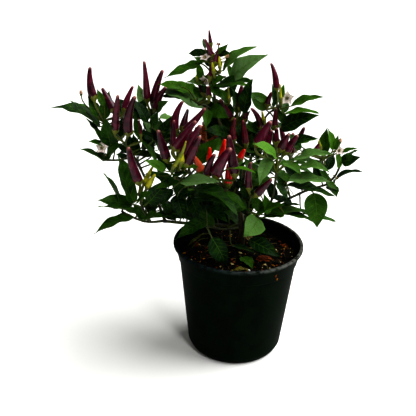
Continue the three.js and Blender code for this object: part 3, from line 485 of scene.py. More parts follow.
@dataclass(frozen=True)
class PepperSkin:
    """Ripening pepper skin, grown under a thin wax: a tight gloss, and a blush that runs lengthwise to the tip."""

    ripeness: Ripeness
    patch: float = 6.0  # mm, one patch of the blush
    crease: float = 2.4  # mm between two faint creases, which run six times as far along
    pit: float = 0.9  # mm, coarser than the skin's own pits, so that they show

    def make(self) -> bpy.types.Material:
        """Makes the material.

        Returns:
            The material.
        """
        body, blush, tip, shoulder = (linear(colour) for colour in self.ripeness.value)
        skin = Surface("waxed_pepper_skin_" + self.ripeness.name.lower())
        add = skin.add
        along = add("SeparateXYZ", {0: add("UVMap", uv_map="grown")[0]})[1]
        lot = add("SeparateColor", {0: add("Attribute", attribute_name="tint")["Color"]})[0]
        cloud = add("TexNoise", {"Vector": skin.place, "Scale": per(self.patch), "Detail": 2})[0]
        cloud = add("Math", {0: lot, 1: 0.34, 2: cloud}, operation="MULTIPLY_ADD")[0]
        share = add("MapRange", {0: cloud, 1: 0.45, 2: 0.9}, **SMOOTH)[0]
        colour = add("Mix", {0: share, 6: body, 7: blush}, **COLOUR)[2]
        share = add("MapRange", {0: along, 1: 0.78, 2: 1.0, 4: 0.8}, **SMOOTH)[0]
        colour = add("Mix", {0: share, 6: colour, 7: tip}, **COLOUR)[2]
        edge = add("Math", {0: cloud, 1: -0.12, 2: along}, operation="MULTIPLY_ADD")[0]
        share = add("MapRange", {0: edge, 1: 0.1, 2: -0.03, 4: 0.9}, **SMOOTH)[0]
        colour = add("Mix", {0: share, 6: colour, 7: shoulder}, **COLOUR)[2]
        grain = add("VectorMath", {0: skin.place, 1: (1, 1, 1 / 6)}, operation="MULTIPLY")[0]
        creases = add("TexNoise", {"Vector": grain, "Scale": per(self.crease), "Detail": 2})[0]
        pits = add("TexNoise", {"Vector": skin.place, "Scale": per(self.pit), "Detail": 2})[0]
        gloss = add("MapRange", {0: creases, 3: 0.2, 4: 0.36})[0]
        return skin.close(
            [(creases, 0.1), (pits, 0.03)],
            Base_Color=colour,
            Roughness=gloss,
            IOR=1.45,
            Specular_IOR_Level=0.22,
            Coat_Weight=0.25,
            Coat_Roughness=0.12,
            Subsurface_Weight=0.06,
            Subsurface_Radius=(1.0, 0.35, 0.3),
            Subsurface_Scale=0.001,
        )


class LeafFace(Enum):
    """The two faces of a leaf: the colours of its old tissue, its young tissue and its veins, and its roughness."""

    UPPER = ("#062404", "#5a9016", "#4c7222", 0.4)
    UNDER = ("#284a12", "#6a902a", "#749244", 0.52)


@dataclass(frozen=True)
class LeafTissue:
    """Leaf tissue grown under a thin cuticle: a satin green with paler veins above, and a dull pale green beneath. The
    tint's third number mixes in a pale grey-green painted sheen, for leaves that face the light.
    """

    face: LeafFace
    midrib: float = 0.055  # half breadth of the midrib at the blade's foot, as a share of the blade's
    vein: float = 0.13  # half breadth of a side vein, as a share of the gap between two
    patch: float = 9  # mm, one patch of darker or lighter tissue
    cell: float = 2.6  # mm between the finest veins, coarser than they are, so that they show
    speck: float = 0.9  # mm

    def make(self) -> bpy.types.Material:
        """Makes the material.

        Returns:
            The material.
        """
        old, young, pale, roughness = self.face.value
        leaf = Surface("leaf_tissue_" + self.face.name.lower())
        add = leaf.add
        across, along, _ = add("SeparateXYZ", {0: add("UVMap", uv_map="grown")[0]})
        youth, lot, bloom = add("SeparateColor", {0: add("Attribute", attribute_name="tint")["Color"]})
        aside = add("Math", {0: across, 1: 2, 2: -1}, operation="MULTIPLY_ADD")[0]
        aside = add("Math", {0: aside}, operation="ABSOLUTE")[0]
        reach = add("Math", {0: along, 1: -0.8 * self.midrib, 2: self.midrib}, operation="MULTIPLY_ADD")[0]
        reach = add("Math", {0: aside, 1: reach}, operation="DIVIDE")[0]
        midrib = add("MapRange", {0: reach, 1: 1.3, 2: 0.5}, **SMOOTH)[0]
        climb = add("Math", {0: aside, 1: BLADE.vein_bend}, operation="POWER")[0]
        phase = add("Math", {0: climb, 1: -BLADE.vein_slant, 2: along}, operation="MULTIPLY_ADD")[0]
        phase = add("Math", {0: phase, 1: BLADE.veins}, operation="MULTIPLY")[0]
        between = add("Math", {0: phase, 1: 0.5}, operation="PINGPONG")[0]
        veins = add("MapRange", {0: between, 1: self.vein, 2: 0.02}, **SMOOTH)[0]
        fading = add("MapRange", {0: aside, 1: 1.0, 2: 0.55, 4: 0.5}, **SMOOTH)[0]
        veins = add("Math", {0: veins, 1: fading}, operation="MULTIPLY")[0]
        ribs = add("Math", {0: midrib, 1: veins}, operation="MAXIMUM")[0]
        patches = add("TexNoise", {"Vector": leaf.place, "Scale": per(self.patch), "Detail": 4})[0]
        tone = add("Math", {0: patches, 1: 0.5, 2: youth}, operation="MULTIPLY_ADD")[0]
        tone = add("Math", {0: lot, 1: 0.16, 2: tone}, operation="MULTIPLY_ADD")[0]
        share = add("MapRange", {0: tone, 1: 0.33, 2: 1.33})[0]
        colour = add("Mix", {0: share, 6: linear(old), 7: linear(young)}, **COLOUR)[2]
        # Painted sheen: bloom, the tint's third number, mixes a pale grey-green into leaves that face the light.
        share = add("Math", {0: bloom, 1: 0.7}, operation="MULTIPLY")[0]
        colour = add("Mix", {0: share, 6: colour, 7: linear("#7c9a68")}, **COLOUR)[2]
        share = add("Math", {0: ribs, 1: 0.6}, operation="MULTIPLY")[0]
        colour = add("Mix", {0: share, 6: colour, 7: linear(pale)}, **COLOUR)[2]
        specks = add("TexNoise", {"Vector": leaf.place, "Scale": per(self.speck), "Detail": 2})[0]
        cells = add("TexVoronoi", {"Vector": leaf.place, "Scale": per(self.cell)}, feature="DISTANCE_TO_EDGE")[0]
        quilt = add("MapRange", {0: cells, 1: 0.0, 2: 0.35}, **SMOOTH)[0]
        gloss = add("MapRange", {0: patches, 3: roughness - 0.08, 4: roughness + 0.16})[0]
        return leaf.close(
            [(ribs, 0.6), (quilt, 0.16), (specks, 0.05)],
            Base_Color=colour,
            Roughness=gloss,
            IOR=1.42,
            Specular_IOR_Level=0.17,
            Subsurface_Weight=0.15,
            Subsurface_Radius=(0.35, 1.0, 0.12),
            Subsurface_Scale=0.001,
        )


@dataclass(frozen=True)
class GreenStalk:
    """Soft green stalk, grown: a satin skin with fine ribs along it, yellower where the tint says."""

    rib: float = 0.8  # mm

    def make(self) -> bpy.types.Material:
        """Makes the material.

        Returns:
            The material.
        """
        stalk = Surface("soft_green_stalk")
        add = stalk.add
        yellow, _, purple = add("SeparateColor", {0: add("Attribute", attribute_name="tint")["Color"]})
        cloud = add("TexNoise", {"Vector": stalk.place, "Scale": per(3.0), "Detail": 3})[0]
        tone = add("Math", {0: cloud, 1: 0.5, 2: yellow}, operation="MULTIPLY_ADD")[0]
        share = add("MapRange", {0: tone, 1: 0.25, 2: 1.25})[0]
        colour = add("Mix", {0: share, 6: linear("#1c3a0a"), 7: linear("#6a6e14")}, **COLOUR)[2]
        share = add("Math", {0: purple, 1: 0.8}, operation="MULTIPLY")[0]
        colour = add("Mix", {0: share, 6: colour, 7: linear("#2c1826")}, **COLOUR)[2]
        grain = add("VectorMath", {0: stalk.place, 1: (1, 1, 1 / 6)}, operation="MULTIPLY")[0]
        ribs = add("TexNoise", {"Vector": grain, "Scale": per(self.rib), "Detail": 2})[0]
        return stalk.close(
            [(ribs, 0.12)],
            Base_Color=colour,
            Roughness=0.42,
            IOR=1.42,
            Subsurface_Weight=0.12,
            Subsurface_Radius=(0.5, 1.0, 0.2),
            Subsurface_Scale=0.001,
        )


@dataclass(frozen=True)
class StemBark:
    """Young bark, grown: olive green over brown, with corky streaks along it that stop the light from sliding."""

    streak: float = 1.6  # mm across, and eight times as far along

    def make(self) -> bpy.types.Material:
        """Makes the material.

        Returns:
            The material.
        """
        bark = Surface("young_stem_bark")
        add = bark.add
        age, _, node = add("SeparateColor", {0: add("Attribute", attribute_name="tint")["Color"]})
        grain = add("VectorMath", {0: bark.place, 1: (1, 1, 1 / 8)}, operation="MULTIPLY")[0]
        streaks = add("TexNoise", {"Vector": grain, "Scale": per(self.streak), "Detail": 4})[0]
        share = add("MapRange", {0: streaks, 1: 0.39, 2: 0.61}, **SMOOTH)[0]
        green = add("Mix", {0: share, 6: linear("#16240a"), 7: linear("#414a18")}, **COLOUR)[2]
        corky = add("Mix", {0: share, 6: linear("#1e1408"), 7: linear("#4e3e1e")}, **COLOUR)[2]
        colour = add("Mix", {0: age, 6: green, 7: corky}, **COLOUR)[2]
        share = add("Math", {0: node, 1: 0.7}, operation="MULTIPLY")[0]
        colour = add("Mix", {0: share, 6: colour, 7: linear("#2a1620")}, **COLOUR)[2]
        fine = add("TexNoise", {"Vector": bark.place, "Scale": per(0.6), "Detail": 3})[0]
        return bark.close([(streaks, 0.5), (fine, 0.12)], Base_Color=colour, Roughness=0.62, IOR=1.45)


@dataclass(frozen=True)
class MouldedPot:
    """Black-green polypropylene, injection moulded: a satin wall with fine flow marks, scuffed grey along its lip, with
    a painted highlight that makes the lip lighter on its right side and a bluish painted reflection on its left.
    """

    height: float
    # The lip's scuffs and its painted highlight both reach this far below the rim.
    lip: float  # mm below the rim to which the scuffs reach
    dust: float = 3.2  # mm, one fleck of dried splash
    flow: float = 2.2  # mm across a flow mark, and nine times as far up the wall

    def make(self) -> bpy.types.Material:
        """Makes the material.

        Returns:
            The material.
        """
        wall = Surface("moulded_polypropylene")
        add = wall.add
        across, _, up = add("SeparateXYZ", {0: wall.place})
        broad = add("TexNoise", {"Vector": wall.place, "Scale": per(22), "Detail": 4})[0]
        share = add("MapRange", {0: broad, 1: 0.35, 2: 0.65}, **SMOOTH)[0]
        colour = add("Mix", {0: share, 6: linear("#010a02"), 7: linear("#041407")}, **COLOUR)[2]
        flecks = add("TexNoise", {"Vector": wall.place, "Scale": per(self.dust), "Detail": 5})[0]
        share = add("MapRange", {0: flecks, 1: 0.6, 2: 0.76, 4: 0.05}, **SMOOTH)[0]
        colour = add("Mix", {0: share, 6: colour, 7: linear("#4c5348")}, **COLOUR)[2]
        reach = {0: up, 1: (self.height - self.lip) * MM, 2: (self.height - 0.4) * MM}
        rim = add("MapRange", reach, **SMOOTH)[0]
        # Painted highlight and painted reflection: the lip's scuffs are stronger and warm grey on the right side, where
        # the light falls, and bluish on the left.
        side = add("MapRange", {0: across, 1: -0.06, 2: 0.08}, **SMOOTH)[0]
        wear_and_highlight = add("Math", {0: side, 1: 0.45, 2: 0.2}, operation="MULTIPLY_ADD")[0]
        wear_and_highlight = add("Math", {0: wear_and_highlight, 1: rim}, operation="MULTIPLY")[0]
        scrapes = add("TexNoise", {"Vector": wall.place, "Scale": per(6), "Detail": 5})[0]
        share = add("MapRange", {0: scrapes, 1: 0.3, 2: 0.6}, **SMOOTH)[0]
        wear_and_highlight = add("Math", {0: wear_and_highlight, 1: share}, operation="MULTIPLY")[0]
        scuff_and_highlight_colour = add("Mix", {0: side, 6: linear("#3c4a54"), 7: linear("#6e6e68")}, **COLOUR)[2]
        colour = add("Mix", {0: wear_and_highlight, 6: colour, 7: scuff_and_highlight_colour}, **COLOUR)[2]
        gloss = add("MapRange", {0: broad, 3: 0.5, 4: 0.72})[0]
        grain = add("VectorMath", {0: wall.place, 1: (1, 1, 1 / 9)}, operation="MULTIPLY")[0]
        flow = add("TexNoise", {"Vector": grain, "Scale": per(self.flow), "Detail": 3})[0]
        fine = add("TexNoise", {"Vector": wall.place, "Scale": per(0.5), "Detail": 2})[0]
        bumps = [(flow, 0.08), (fine, 0.05)]
        return wall.close(bumps, Base_Color=colour, Roughness=gloss, IOR=1.49, Specular_IOR_Level=0.03)


@dataclass(frozen=True)
class Peat:
    """Damp peat and bark mix, sieved and pressed in by hand: near black, crumbly, with dull brown fibres."""

    crumb: float = 2.6  # mm

    def make(self) -> bpy.types.Material:
        """Makes the material.

        Returns:
            The material.
        """
        peat = Surface("damp_peat_mix")
        add = peat.add
        patches = add("TexNoise", {"Vector": peat.place, "Scale": per(9), "Detail": 5})[0]
        share = add("MapRange", {0: patches, 1: 0.4, 2: 0.62}, **SMOOTH)[0]
        colour = add("Mix", {0: share, 6: linear("#040402"), 7: linear("#110e07")}, **COLOUR)[2]
        crumbs = add("TexVoronoi", {"Vector": peat.place, "Scale": per(self.crumb)})
        grain = add("SeparateColor", {0: crumbs["Color"]})[0]
        share = add("MapRange", {0: grain, 1: 0.82, 2: 0.98}, **SMOOTH)[0]
        colour = add("Mix", {0: share, 6: colour, 7: linear("#332410")}, **COLOUR)[2]
        fine = add("TexNoise", {"Vector": peat.place, "Scale": per(1.0), "Detail": 5})[0]
        bumps = [(crumbs["Distance"], 1.2), (fine, 0.8)]
        return peat.close(bumps, Base_Color=colour, Roughness=0.9, Specular_IOR_Level=0.1)


class Crumb(Enum):
    """The loose bits on the mix: the darkest and the lightest colour of each kind."""

    PEAT = ("#060402", "#18120a")
    BARK = ("#2e1202", "#7c3a06")
    OCHRE = ("#8a5208", "#d08a1c")
    PALE = ("#a08a50", "#dcc890")
    HUSK = ("#5a4a2a", "#8a7648")
    STONE = ("#a8a8a0", "#dcdad2")
    BLOOM = ("#4a2206", "#84480e")
    CURL = ("#8a4a2c", "#d08a5c")


@dataclass(frozen=True)
class LooseBits:
    """Bark, husk and seed scattered on the mix: dry and matt, each bit with a grain of its own."""

    kind: Crumb
    grain: float = 1.4  # mm across, and three times as far along

    def make(self) -> bpy.types.Material:
        """Makes the material.

        Returns:
            The material.
        """
        bits = Surface("loose_bits_" + self.kind.name.lower())
        add = bits.add
        dark, light = (linear(colour) for colour in self.kind.value)
        lot = add("SeparateColor", {0: add("Attribute", attribute_name="tint")["Color"]})[0]
        drawn = add("VectorMath", {0: bits.place, 1: (1 / 3, 1, 1)}, operation="MULTIPLY")[0]
        grain = add("TexNoise", {"Vector": drawn, "Scale": per(self.grain), "Detail": 4})[0]
        tone = add("MapRange", {0: grain, 1: 0.35, 2: 0.65}, **SMOOTH)[0]
        tone = add("Math", {0: lot, 1: 0.8, 2: tone}, operation="MULTIPLY_ADD")[0]
        share = add("MapRange", {0: tone, 1: 0.4, 2: 1.4})[0]
        colour = add("Mix", {0: share, 6: dark, 7: light}, **COLOUR)[2]
        return bits.close([(grain, 0.4)], Base_Color=colour, Roughness=0.85, IOR=1.45, Specular_IOR_Level=0.2)


@dataclass(frozen=True)
class PetalTissue:
    """Petal tissue, grown: soft matt white with a lilac flush that follows the edges and the tip."""

    vein: float = 0.8  # mm between two veins

    def make(self) -> bpy.types.Material:
        """Makes the material.

        Returns:
            The material.
        """
        petal = Surface("white_petal_tissue")
        add = petal.add
        across, along, _ = add("SeparateXYZ", {0: add("UVMap", uv_map="grown")[0]})
        aside = add("Math", {0: across, 1: 2, 2: -1}, operation="MULTIPLY_ADD")[0]
        aside = add("Math", {0: aside}, operation="ABSOLUTE")[0]
        edge = add("MapRange", {0: aside, 1: 0.55, 2: 1.0, 4: 0.5}, **SMOOTH)[0]
        point = add("MapRange", {0: along, 1: 0.72, 2: 1.0, 4: 0.5}, **SMOOTH)[0]
        edge = add("Math", {0: edge, 1: point}, operation="MAXIMUM")[0]
        colour = add("Mix", {0: edge, 6: linear("#dad0c4"), 7: linear("#8e6084")}, **COLOUR)[2]
        throat = add("MapRange", {0: along, 1: 0.3, 2: 0.05, 4: 0.6}, **SMOOTH)[0]
        colour = add("Mix", {0: throat, 6: colour, 7: linear("#7c8440")}, **COLOUR)[2]
        veins = add("TexNoise", {"Vector": petal.place, "Scale": per(self.vein), "Detail": 2})[0]
        return petal.close(
            [(veins, 0.08)],
            Base_Color=colour,
            Roughness=0.6,
            IOR=1.4,
            Subsurface_Weight=0.3,
            Subsurface_Radius=(1.0, 0.9, 0.9),
            Subsurface_Scale=0.001,
        )


@dataclass(frozen=True)
class DryTissue:
    """Dried leaf or flower, crumpled: matt, papery, with darker and lighter patches in its grain."""

    name: str
    dark: str
    light: str
    grain: float = 2.2  # mm

    def make(self) -> bpy.types.Material:
        """Makes the material.

        Returns:
            The material.
        """
        dry = Surface("dried_" + self.name)
        add = dry.add
        grain = add("TexNoise", {"Vector": dry.place, "Scale": per(self.grain), "Detail": 5})[0]
        share = add("MapRange", {0: grain, 1: 0.37, 2: 0.6}, **SMOOTH)[0]
        colour = add("Mix", {0: share, 6: linear(self.dark), 7: linear(self.light)}, **COLOUR)[2]
        fine = add("TexNoise", {"Vector": dry.place, "Scale": per(0.6), "Detail": 3})[0]
        return dry.close([(grain, 0.5), (fine, 0.15)], Base_Color=colour, Roughness=0.8, IOR=1.4)


class Palette:
    """Makes each finish once and hands it out by what it is."""

    def __init__(self) -> None:
        """Starts with nothing made."""
        self.made: dict[object, bpy.types.Material] = {}

    def get(self, finish: object) -> bpy.types.Material:
        """Returns the material of a finish.

        Args:
            finish: One of the finishes above.

        Returns:
            Its material, the same one each time.
        """
        if finish not in self.made:
            self.made[finish] = finish.make()
        return self.made[finish]


PALETTE = Palette()
LEAFY = (LeafTissue(LeafFace.UPPER), LeafTissue(LeafFace.UNDER), GreenStalk())  # upper face, under face, stalk


# ---------------------------------------------------------------- rules of growth


@dataclass(frozen=True)
class BladeRule:
    """How every leaf is shaped. Shares are of the blade's length or of its half breadth."""

    ratio: float = 2.3  # length to breadth
    rise: float = 0.6
    fall: float = 1.1
    fold: float = 0.3
    arch: float = 0.04
    wave: float = 0.04
    aside: float = 5.2  # mm that a stalk keeps from its twig's root and from the middle of a bunch
    veins: float = 7.0  # side veins to each side
    vein_slant: float = 0.17
    vein_bend: float = 0.8
    thickness: float = 0.55  # mm
    rows: int = 26
    columns: int = 12
    sway: float = 0.05  # how far a blade may bend to either side
    curl: float = 0.06  # how far its tip may curl down
    lop: float = 0.07  # how much broader one half may be than the other
    ripple: tuple[float, float] = (0.012, 0.03)  # depth of the ripples along its edge
    ripples: float = 3.2
    quilt: float = 0.06  # rise of the tissue between two side veins
    midrib: float = 0.75  # mm that the midrib stands proud of the under face


@dataclass(frozen=True)
class WoodRule:
    """How every twig is shaped, in mm."""

    start: float = 1.6
    end: float = 1.1
    stretch: float = 24  # one straight stretch, along which stalks may stand
    feet: tuple[float, ...] = (0.1, 0.3, 0.5, 0.7, 0.9)


@dataclass(frozen=True)
class FruitRule:
    """How every fruit is shaped. Shares are of its length or of its greatest girth."""

    shoulder: float = 0.16  # where it is widest
    neck: float = 0.7  # girth where it leaves its cup
    blunt: float = 0.36  # and at its tip, which is rounded off
    bow: float = -0.01  # how far its middle stands to the right
    pedicel: float = 1.3  # mm
    cup: float = 0.34  # radius of the cup under the fruit, as a share of the fruit's width
    rings: int = 26
    sides: int = 20
    dent: float = 0.03
    lobes: tuple[float, float] = (0.035, 0.015)  # depth of its three broad lobes and of its seven small ones
    hook: float = 0.03  # how far its tip may bend aside

    def girth(self, share: float) -> float:
        """Works out the girth.

        Args:
            share: How far along the fruit, from 0 to 1.

        Returns:
            The girth there.
        """
        if share < self.shoulder:
            return self.neck + (1 - self.neck) * math.sin(math.pi / 2 * max(0.0, share) / self.shoulder)
        return 1 - (1 - self.blunt) * ((share - self.shoulder) / (1 - self.shoulder)) ** 1.25


@dataclass(frozen=True)
class BackRule:
    """How the twigs at the back carry their leaves and fruits."""

    first: float = 0.38
    sag: float = -0.06
    spread: tuple[float, float] = (35, 80)
    length: tuple[float, float] = (38, 52)
    stalk: float = 12
    lift: tuple[float, float] = (1, 7)
    droop: tuple[float, float] = (-16, 2)
    hub: float = 0.9
    fruit_length: float = 33
    fruit_width: float = 10
    fruit_stalk: float = 13
    lean: float = 0.42


BLADE = BladeRule()
WOOD = WoodRule()
FRUIT = FruitRule()
BEHIND = BackRule()


@dataclass(frozen=True)
class TwigRow:
    """A leafy twig: its runs of wood, and its leaves as base, tip, breadth shown and, where its own, arch."""

    name: str
    runs: tuple
    leaves: tuple
    youth: float = 0.12  # how young and bright its leaves are


@dataclass(frozen=True)
class BunchRow:
    """A bunch of fruits: its twig, its hub there, and its fruits as base, tip, width in mm, own bow and ripeness."""

    name: str
    twig: str
    hub: Place | Vector
    ripeness: Ripeness
    fruits: tuple


@dataclass(frozen=True)
class BackRow:
    """A twig at the back: the place on the stem where it starts, and the point in mm where it ends."""

    name: str
    root: Place
    end: Place
    seed: int
    leaves: int
    fruits: int


@dataclass(frozen=True)
class FlowerRow:
    """An open flower: its centre, the place that it looks towards, and a petal's length in mm."""

    name: str
    twig: str
    centre: Place
    towards: Place
    size: float


@dataclass(frozen=True)
class BudRow:
    """A closed bud: its foot, its tip and its width in mm."""

    name: str
    twig: str
    base: Place
    tip: Place
    width: float


# The woody stem and its limbs: places along each, and its radius in mm at its start and at its end.
FOOT = Vector((3, 6, 116))
FORK = (242, 226, 4)
KNEE = (236, 193, 8)
LIMBS = (
    ((FOOT, FORK, KNEE, (228, 150, 12), (217, 113, 16), (213, 84, 18)), 4.4, 1.5),
    ((FORK, (215, 225, -4), (184, 223, -14), (163, 221, -22)), 2.4, 1.8),
    (((165, 221, -22), (158, 203, -10), (146, 180, 0)), 1.8, 1.5),
    ((KNEE, (218, 184, 20), (200, 173, 30), (172, 146, 45)), 2.3, 1.5),
    ((KNEE, (220, 190, -4), (205, 184, -15)), 2.1, 1.6), ((FORK, (258, 215, -13), (270, 206, -20)), 2.4, 1.8),
    ((KNEE, (243, 175, 18), (251, 158, 26)), 2.1, 1.5),
)

TWIGS = (
    TwigRow(
        "left_tip",
        (
            ((146, 180, 0), (136, 160, 5), (124, 143, 0), (113, 131, 2), (103, 122, 5)),
            ((133, 156, 4), (119, 160, 2), (105, 160, 0)),
        ),
        (
            ((100, 127, 5), (50, 107, -8), 10, 0.13), ((99, 122, 15), (70, 100, 30), 6),
            ((100, 117, 18), (89, 98, 38), 9), ((105, 116, 17), (109, 91, 30), 13),
            ((111, 146, -2), (105, 118, -16), 16, -0.02), ((104, 145, -2), (88, 141, -14), 5),
            ((104, 161, 0), (79, 148, -12), 4.5), ((106, 160, -1), (122, 143, -14), 8),
            ((137, 155, 15), (133, 133, 27), 9), ((156, 161, 4), (130, 126, 12), 5, 0.01),
            ((134, 151, 12), (116, 154, 24), 5), ((152, 156, 20), (127, 153, 32), 7),
            ((128, 128, 22), (119, 108, 34), 8),
        ),
    ),
    TwigRow(
        "left_low",
        (
            ((163, 221, -22), (150, 222, -27), (137, 219, -32), (121, 211, -32)),
            ((150, 221, -27), (143, 209, -34), (139, 194, -38)),
        ),
        (
            ((134, 203, -36), (120, 154, -30), 13, -0.07), ((121, 206, -30), (104, 171, -22), 4, 0.02),
            ((133, 204, -30), (97, 200, -44), 13.5, -0.02), ((134, 217, -34), (93, 233, -54), 9.5, 0.06),
            ((143, 220, -31), (164, 216, -50), 8, 0.1), ((148, 203, -36), (168, 179, -42), 17),
            ((137, 202, -41), (152, 192, -60), 6),
        ),
    ),
    TwigRow(
        "left_back", (((172, 146, 45), (158, 126, 50), (152, 113, 50)),),
        (
            ((146, 107, 63), (138, 84, 74), 11, -0.02), ((158, 123, 52), (118, 99, 62), 8),
            ((161, 151, 38), (141, 115, 30), 7, 0), ((152, 147, 44), (163, 130, 72), 7),
            ((160, 118, 56), (176, 119, 76), 6), ((158, 111, 34), (168, 101, 18), 7),
            ((150, 132, 46), (143, 118, 62), 8),
        ),
    ),
    TwigRow(
        "mid_left_high", (((190, 173, -16), (184, 150, -6), (180, 134, 0)),),
        (
            ((195, 163, -8), (221, 137, -12), 16), ((178, 137, 6), (163, 121, 30), 9),
            ((184, 151, 0), (201, 131, 28), 11),
        ),
    ),
    TwigRow(
        "mid_left", (((205, 184, -15), (188, 172, -24), (176, 160, -28)),),
        (
            ((165, 171, -30), (144, 160, -36), 9, 0.08), ((173, 172, -30), (198, 167, -54), 5.5),
            ((196, 178, -16), (214, 163, 6), 12), ((160, 176, -14), (143, 174, -8), 5),
            ((180, 180, -34), (156, 188, -48), 9),
        ),
    ),
    TwigRow(
        "front_left", (((205, 190, -20), (188, 185, -38), (173, 176, -47)),),
        (
            ((188, 190, -46), (239, 213, -78), 12, 0.14), ((195, 197, -38), (233, 206, -62), 9),
            ((181, 182, -48), (219, 181, -68), 11, 0.02), ((177, 197, -34), (184, 220, -50), 14),
            ((186, 172, -50), (171, 178, -66), 5), ((190, 196, -30), (199, 219, -42), 12),
            ((172, 189, -42), (162, 205, -56), 8), ((198, 188, -32), (176, 199, -46), 10),
        ),
    ),
    TwigRow(
        "front_low", (((238, 228, -4), (222, 229, -24), (205, 226, -42)),),
        (
            ((206, 221, -42), (176, 238, -66), 13, 0.08), ((212, 238, -52), (227, 266, -56), 19),
            ((208, 207, -36), (228, 222, -58), 12), ((238, 222, -26), (223, 211, -44), 9),
            ((214, 226, -28), (197, 211, -24), 9), ((232, 246, -24), (256, 253, -36), 5),
            ((204, 224, -34), (173, 212, -38), 9),
        ),
    ),
    TwigRow(
        "centre_front", (((234, 200, -4), (229, 193, -18), (222, 186, -28), (213, 180, -36)),),
        (
            ((221, 192, -32), (247, 209, -56), 8), ((216, 187, -28), (198, 197, -22), 10),
            ((231, 199, -16), (252, 212, -34), 9), ((236, 188, -4), (250, 177, 12), 8),
        ),
    ),
    TwigRow(
        "top", (((213, 84, 18), (211, 74, 18), (209, 60, 18)),),
        (
            ((201, 63, 15), (164, 77, 4), 8.5, -0.01), ((205, 53, 24), (188, 53, 36), 8),
            ((205, 48, 20), (203, 38, 30), 5), ((217, 53, 4), (227, 46, -2), 5),
            ((218, 53, 14), (231, 53, 2), 8, 0.1), ((223, 71, 14), (255, 45, 6), 8.5, 0.08),
            ((232, 79, 12), (266, 54, -8), 17, 0.12), ((214, 87, 10), (252, 79, -14), 7.5, 0.02),
            ((210, 86, 8), (221, 97, -14), 9), ((206, 85, 14), (187, 82, 4), 5), ((200, 80, 26), (197, 62, 36), 6),
        ),
    ),
    TwigRow(
        "upper_left", (((216, 112, 16), (207, 107, 12), (195, 102, 8)),),
        (
            ((206, 109, 24), (156, 92, 66), 17, 0.13), ((203, 97, 18), (193, 86, 28), 9),
            ((211, 107, 8), (229, 118, -10), 14), ((208, 110, 4), (206, 128, -18), 10),
        ),
    ),
    TwigRow(
        "centre_high", (((227, 150, 12), (233, 140, 19), (237, 124, 24)),),
        (
            ((228, 134, 12), (204, 130, -8), 11), ((222, 127, 20), (206, 117, 22), 9),
            ((243, 105, 48), (251, 79, 54), 11), ((236, 113, 46), (233, 87, 56), 8),
            ((226, 146, 0), (207, 146, -12), 11), ((238, 136, 24), (252, 122, 44), 9),
            ((231, 118, 36), (226, 99, 52), 9), ((246, 131, 30), (262, 134, 40), 8),
        ),
    ),
    TwigRow(
        "right_high", (((251, 158, 26), (261, 126, 35), (269, 113, 38), (279, 108, 38)),),
        (
            ((266, 110, 38), (250, 93, 48), 12), ((291, 106, 36), (323, 96, 26), 7.5, 0.06),
            ((281, 129, 30), (319, 115, 18), 16, 0.1), ((258, 131, 30), (243, 127, 8), 9),
            ((280, 104, 44), (277, 89, 60), 6), ((266, 127, 42), (283, 124, 64), 9),
            ((255, 147, 29), (242, 150, 8), 10), ((258, 139, 34), (247, 118, 58), 10),
            ((283, 113, 36), (287, 100, 54), 8),
        ),
    ),
    TwigRow(
        "right_mid", (((270, 206, -20), (274, 190, -24), (277, 167, -26)),),
        (
            ((289, 145, 0), (315, 137, -16), 9), ((294, 160, -24), (332, 153, -46), 8, 0.05),
            ((286, 163, -28), (301, 174, -60), 9), ((276, 157, -44), (254, 143, -66), 9),
            ((269, 158, -46), (259, 184, -72), 13), ((277, 183, -26), (287, 199, -50), 6, -0.02),
            ((274, 172, -20), (262, 160, 4), 8), ((277, 175, -24), (293, 181, -4), 9),
            ((270, 178, -30), (251, 186, -46), 8),
        ),
    ),
    TwigRow(
        "right_low", (((271, 205, -20), (290, 198, -5), (308, 190, 5), (329, 184, 8), (335, 182, 7)),),
        (
            ((299, 167, 0), (329, 170, -22), 8, 0.08), ((287, 179, -8), (330, 181, -26), 11, 0.03),
            ((287, 185, -12), (335, 194, -28), 8, -0.01), ((333, 182, 8), (362, 170, 0), 4, 0.1),
            ((329, 187, 8), (337, 196, -24), 9), ((314, 193, -6), (317, 228, -22), 23),
            ((321, 180, 12), (313, 166, 28), 9), ((303, 213, 6), (336, 221, 14), 7, -0.01),
        ),
    ),
    TwigRow(
        "far_right", (((326, 185, 8), (335, 176, 9), (340, 166, 10)), ((331, 181, 8), (324, 170, 7), (322, 158, 5))),
        (
            ((324, 153, 15), (327, 128, 8), 12), ((338, 151, 12), (332, 136, 28), 8),
            ((342, 162, 2), (360, 157, -16), 12, 0.06), ((341, 163, 14), (358, 149, 30), 5),
            ((326, 170, 12), (334, 153, 26), 10),
        ),
    ),
    TwigRow(
        "front_right", (((244, 226, 2), (247, 212, -24), (250, 200, -40), (252, 194, -45)),),
        (
            ((259, 219, -36), (244, 237, -62), 22), ((249, 240, -24), (281, 257, -44), 15),
            ((264, 215, -22), (312, 212, -6), 9, 0.07), ((262, 218, -22), (285, 213, -34), 3),
            ((246, 206, -28), (232, 214, -52), 8), ((256, 214, -28), (284, 204, -48), 8),
        ),
    ),
)

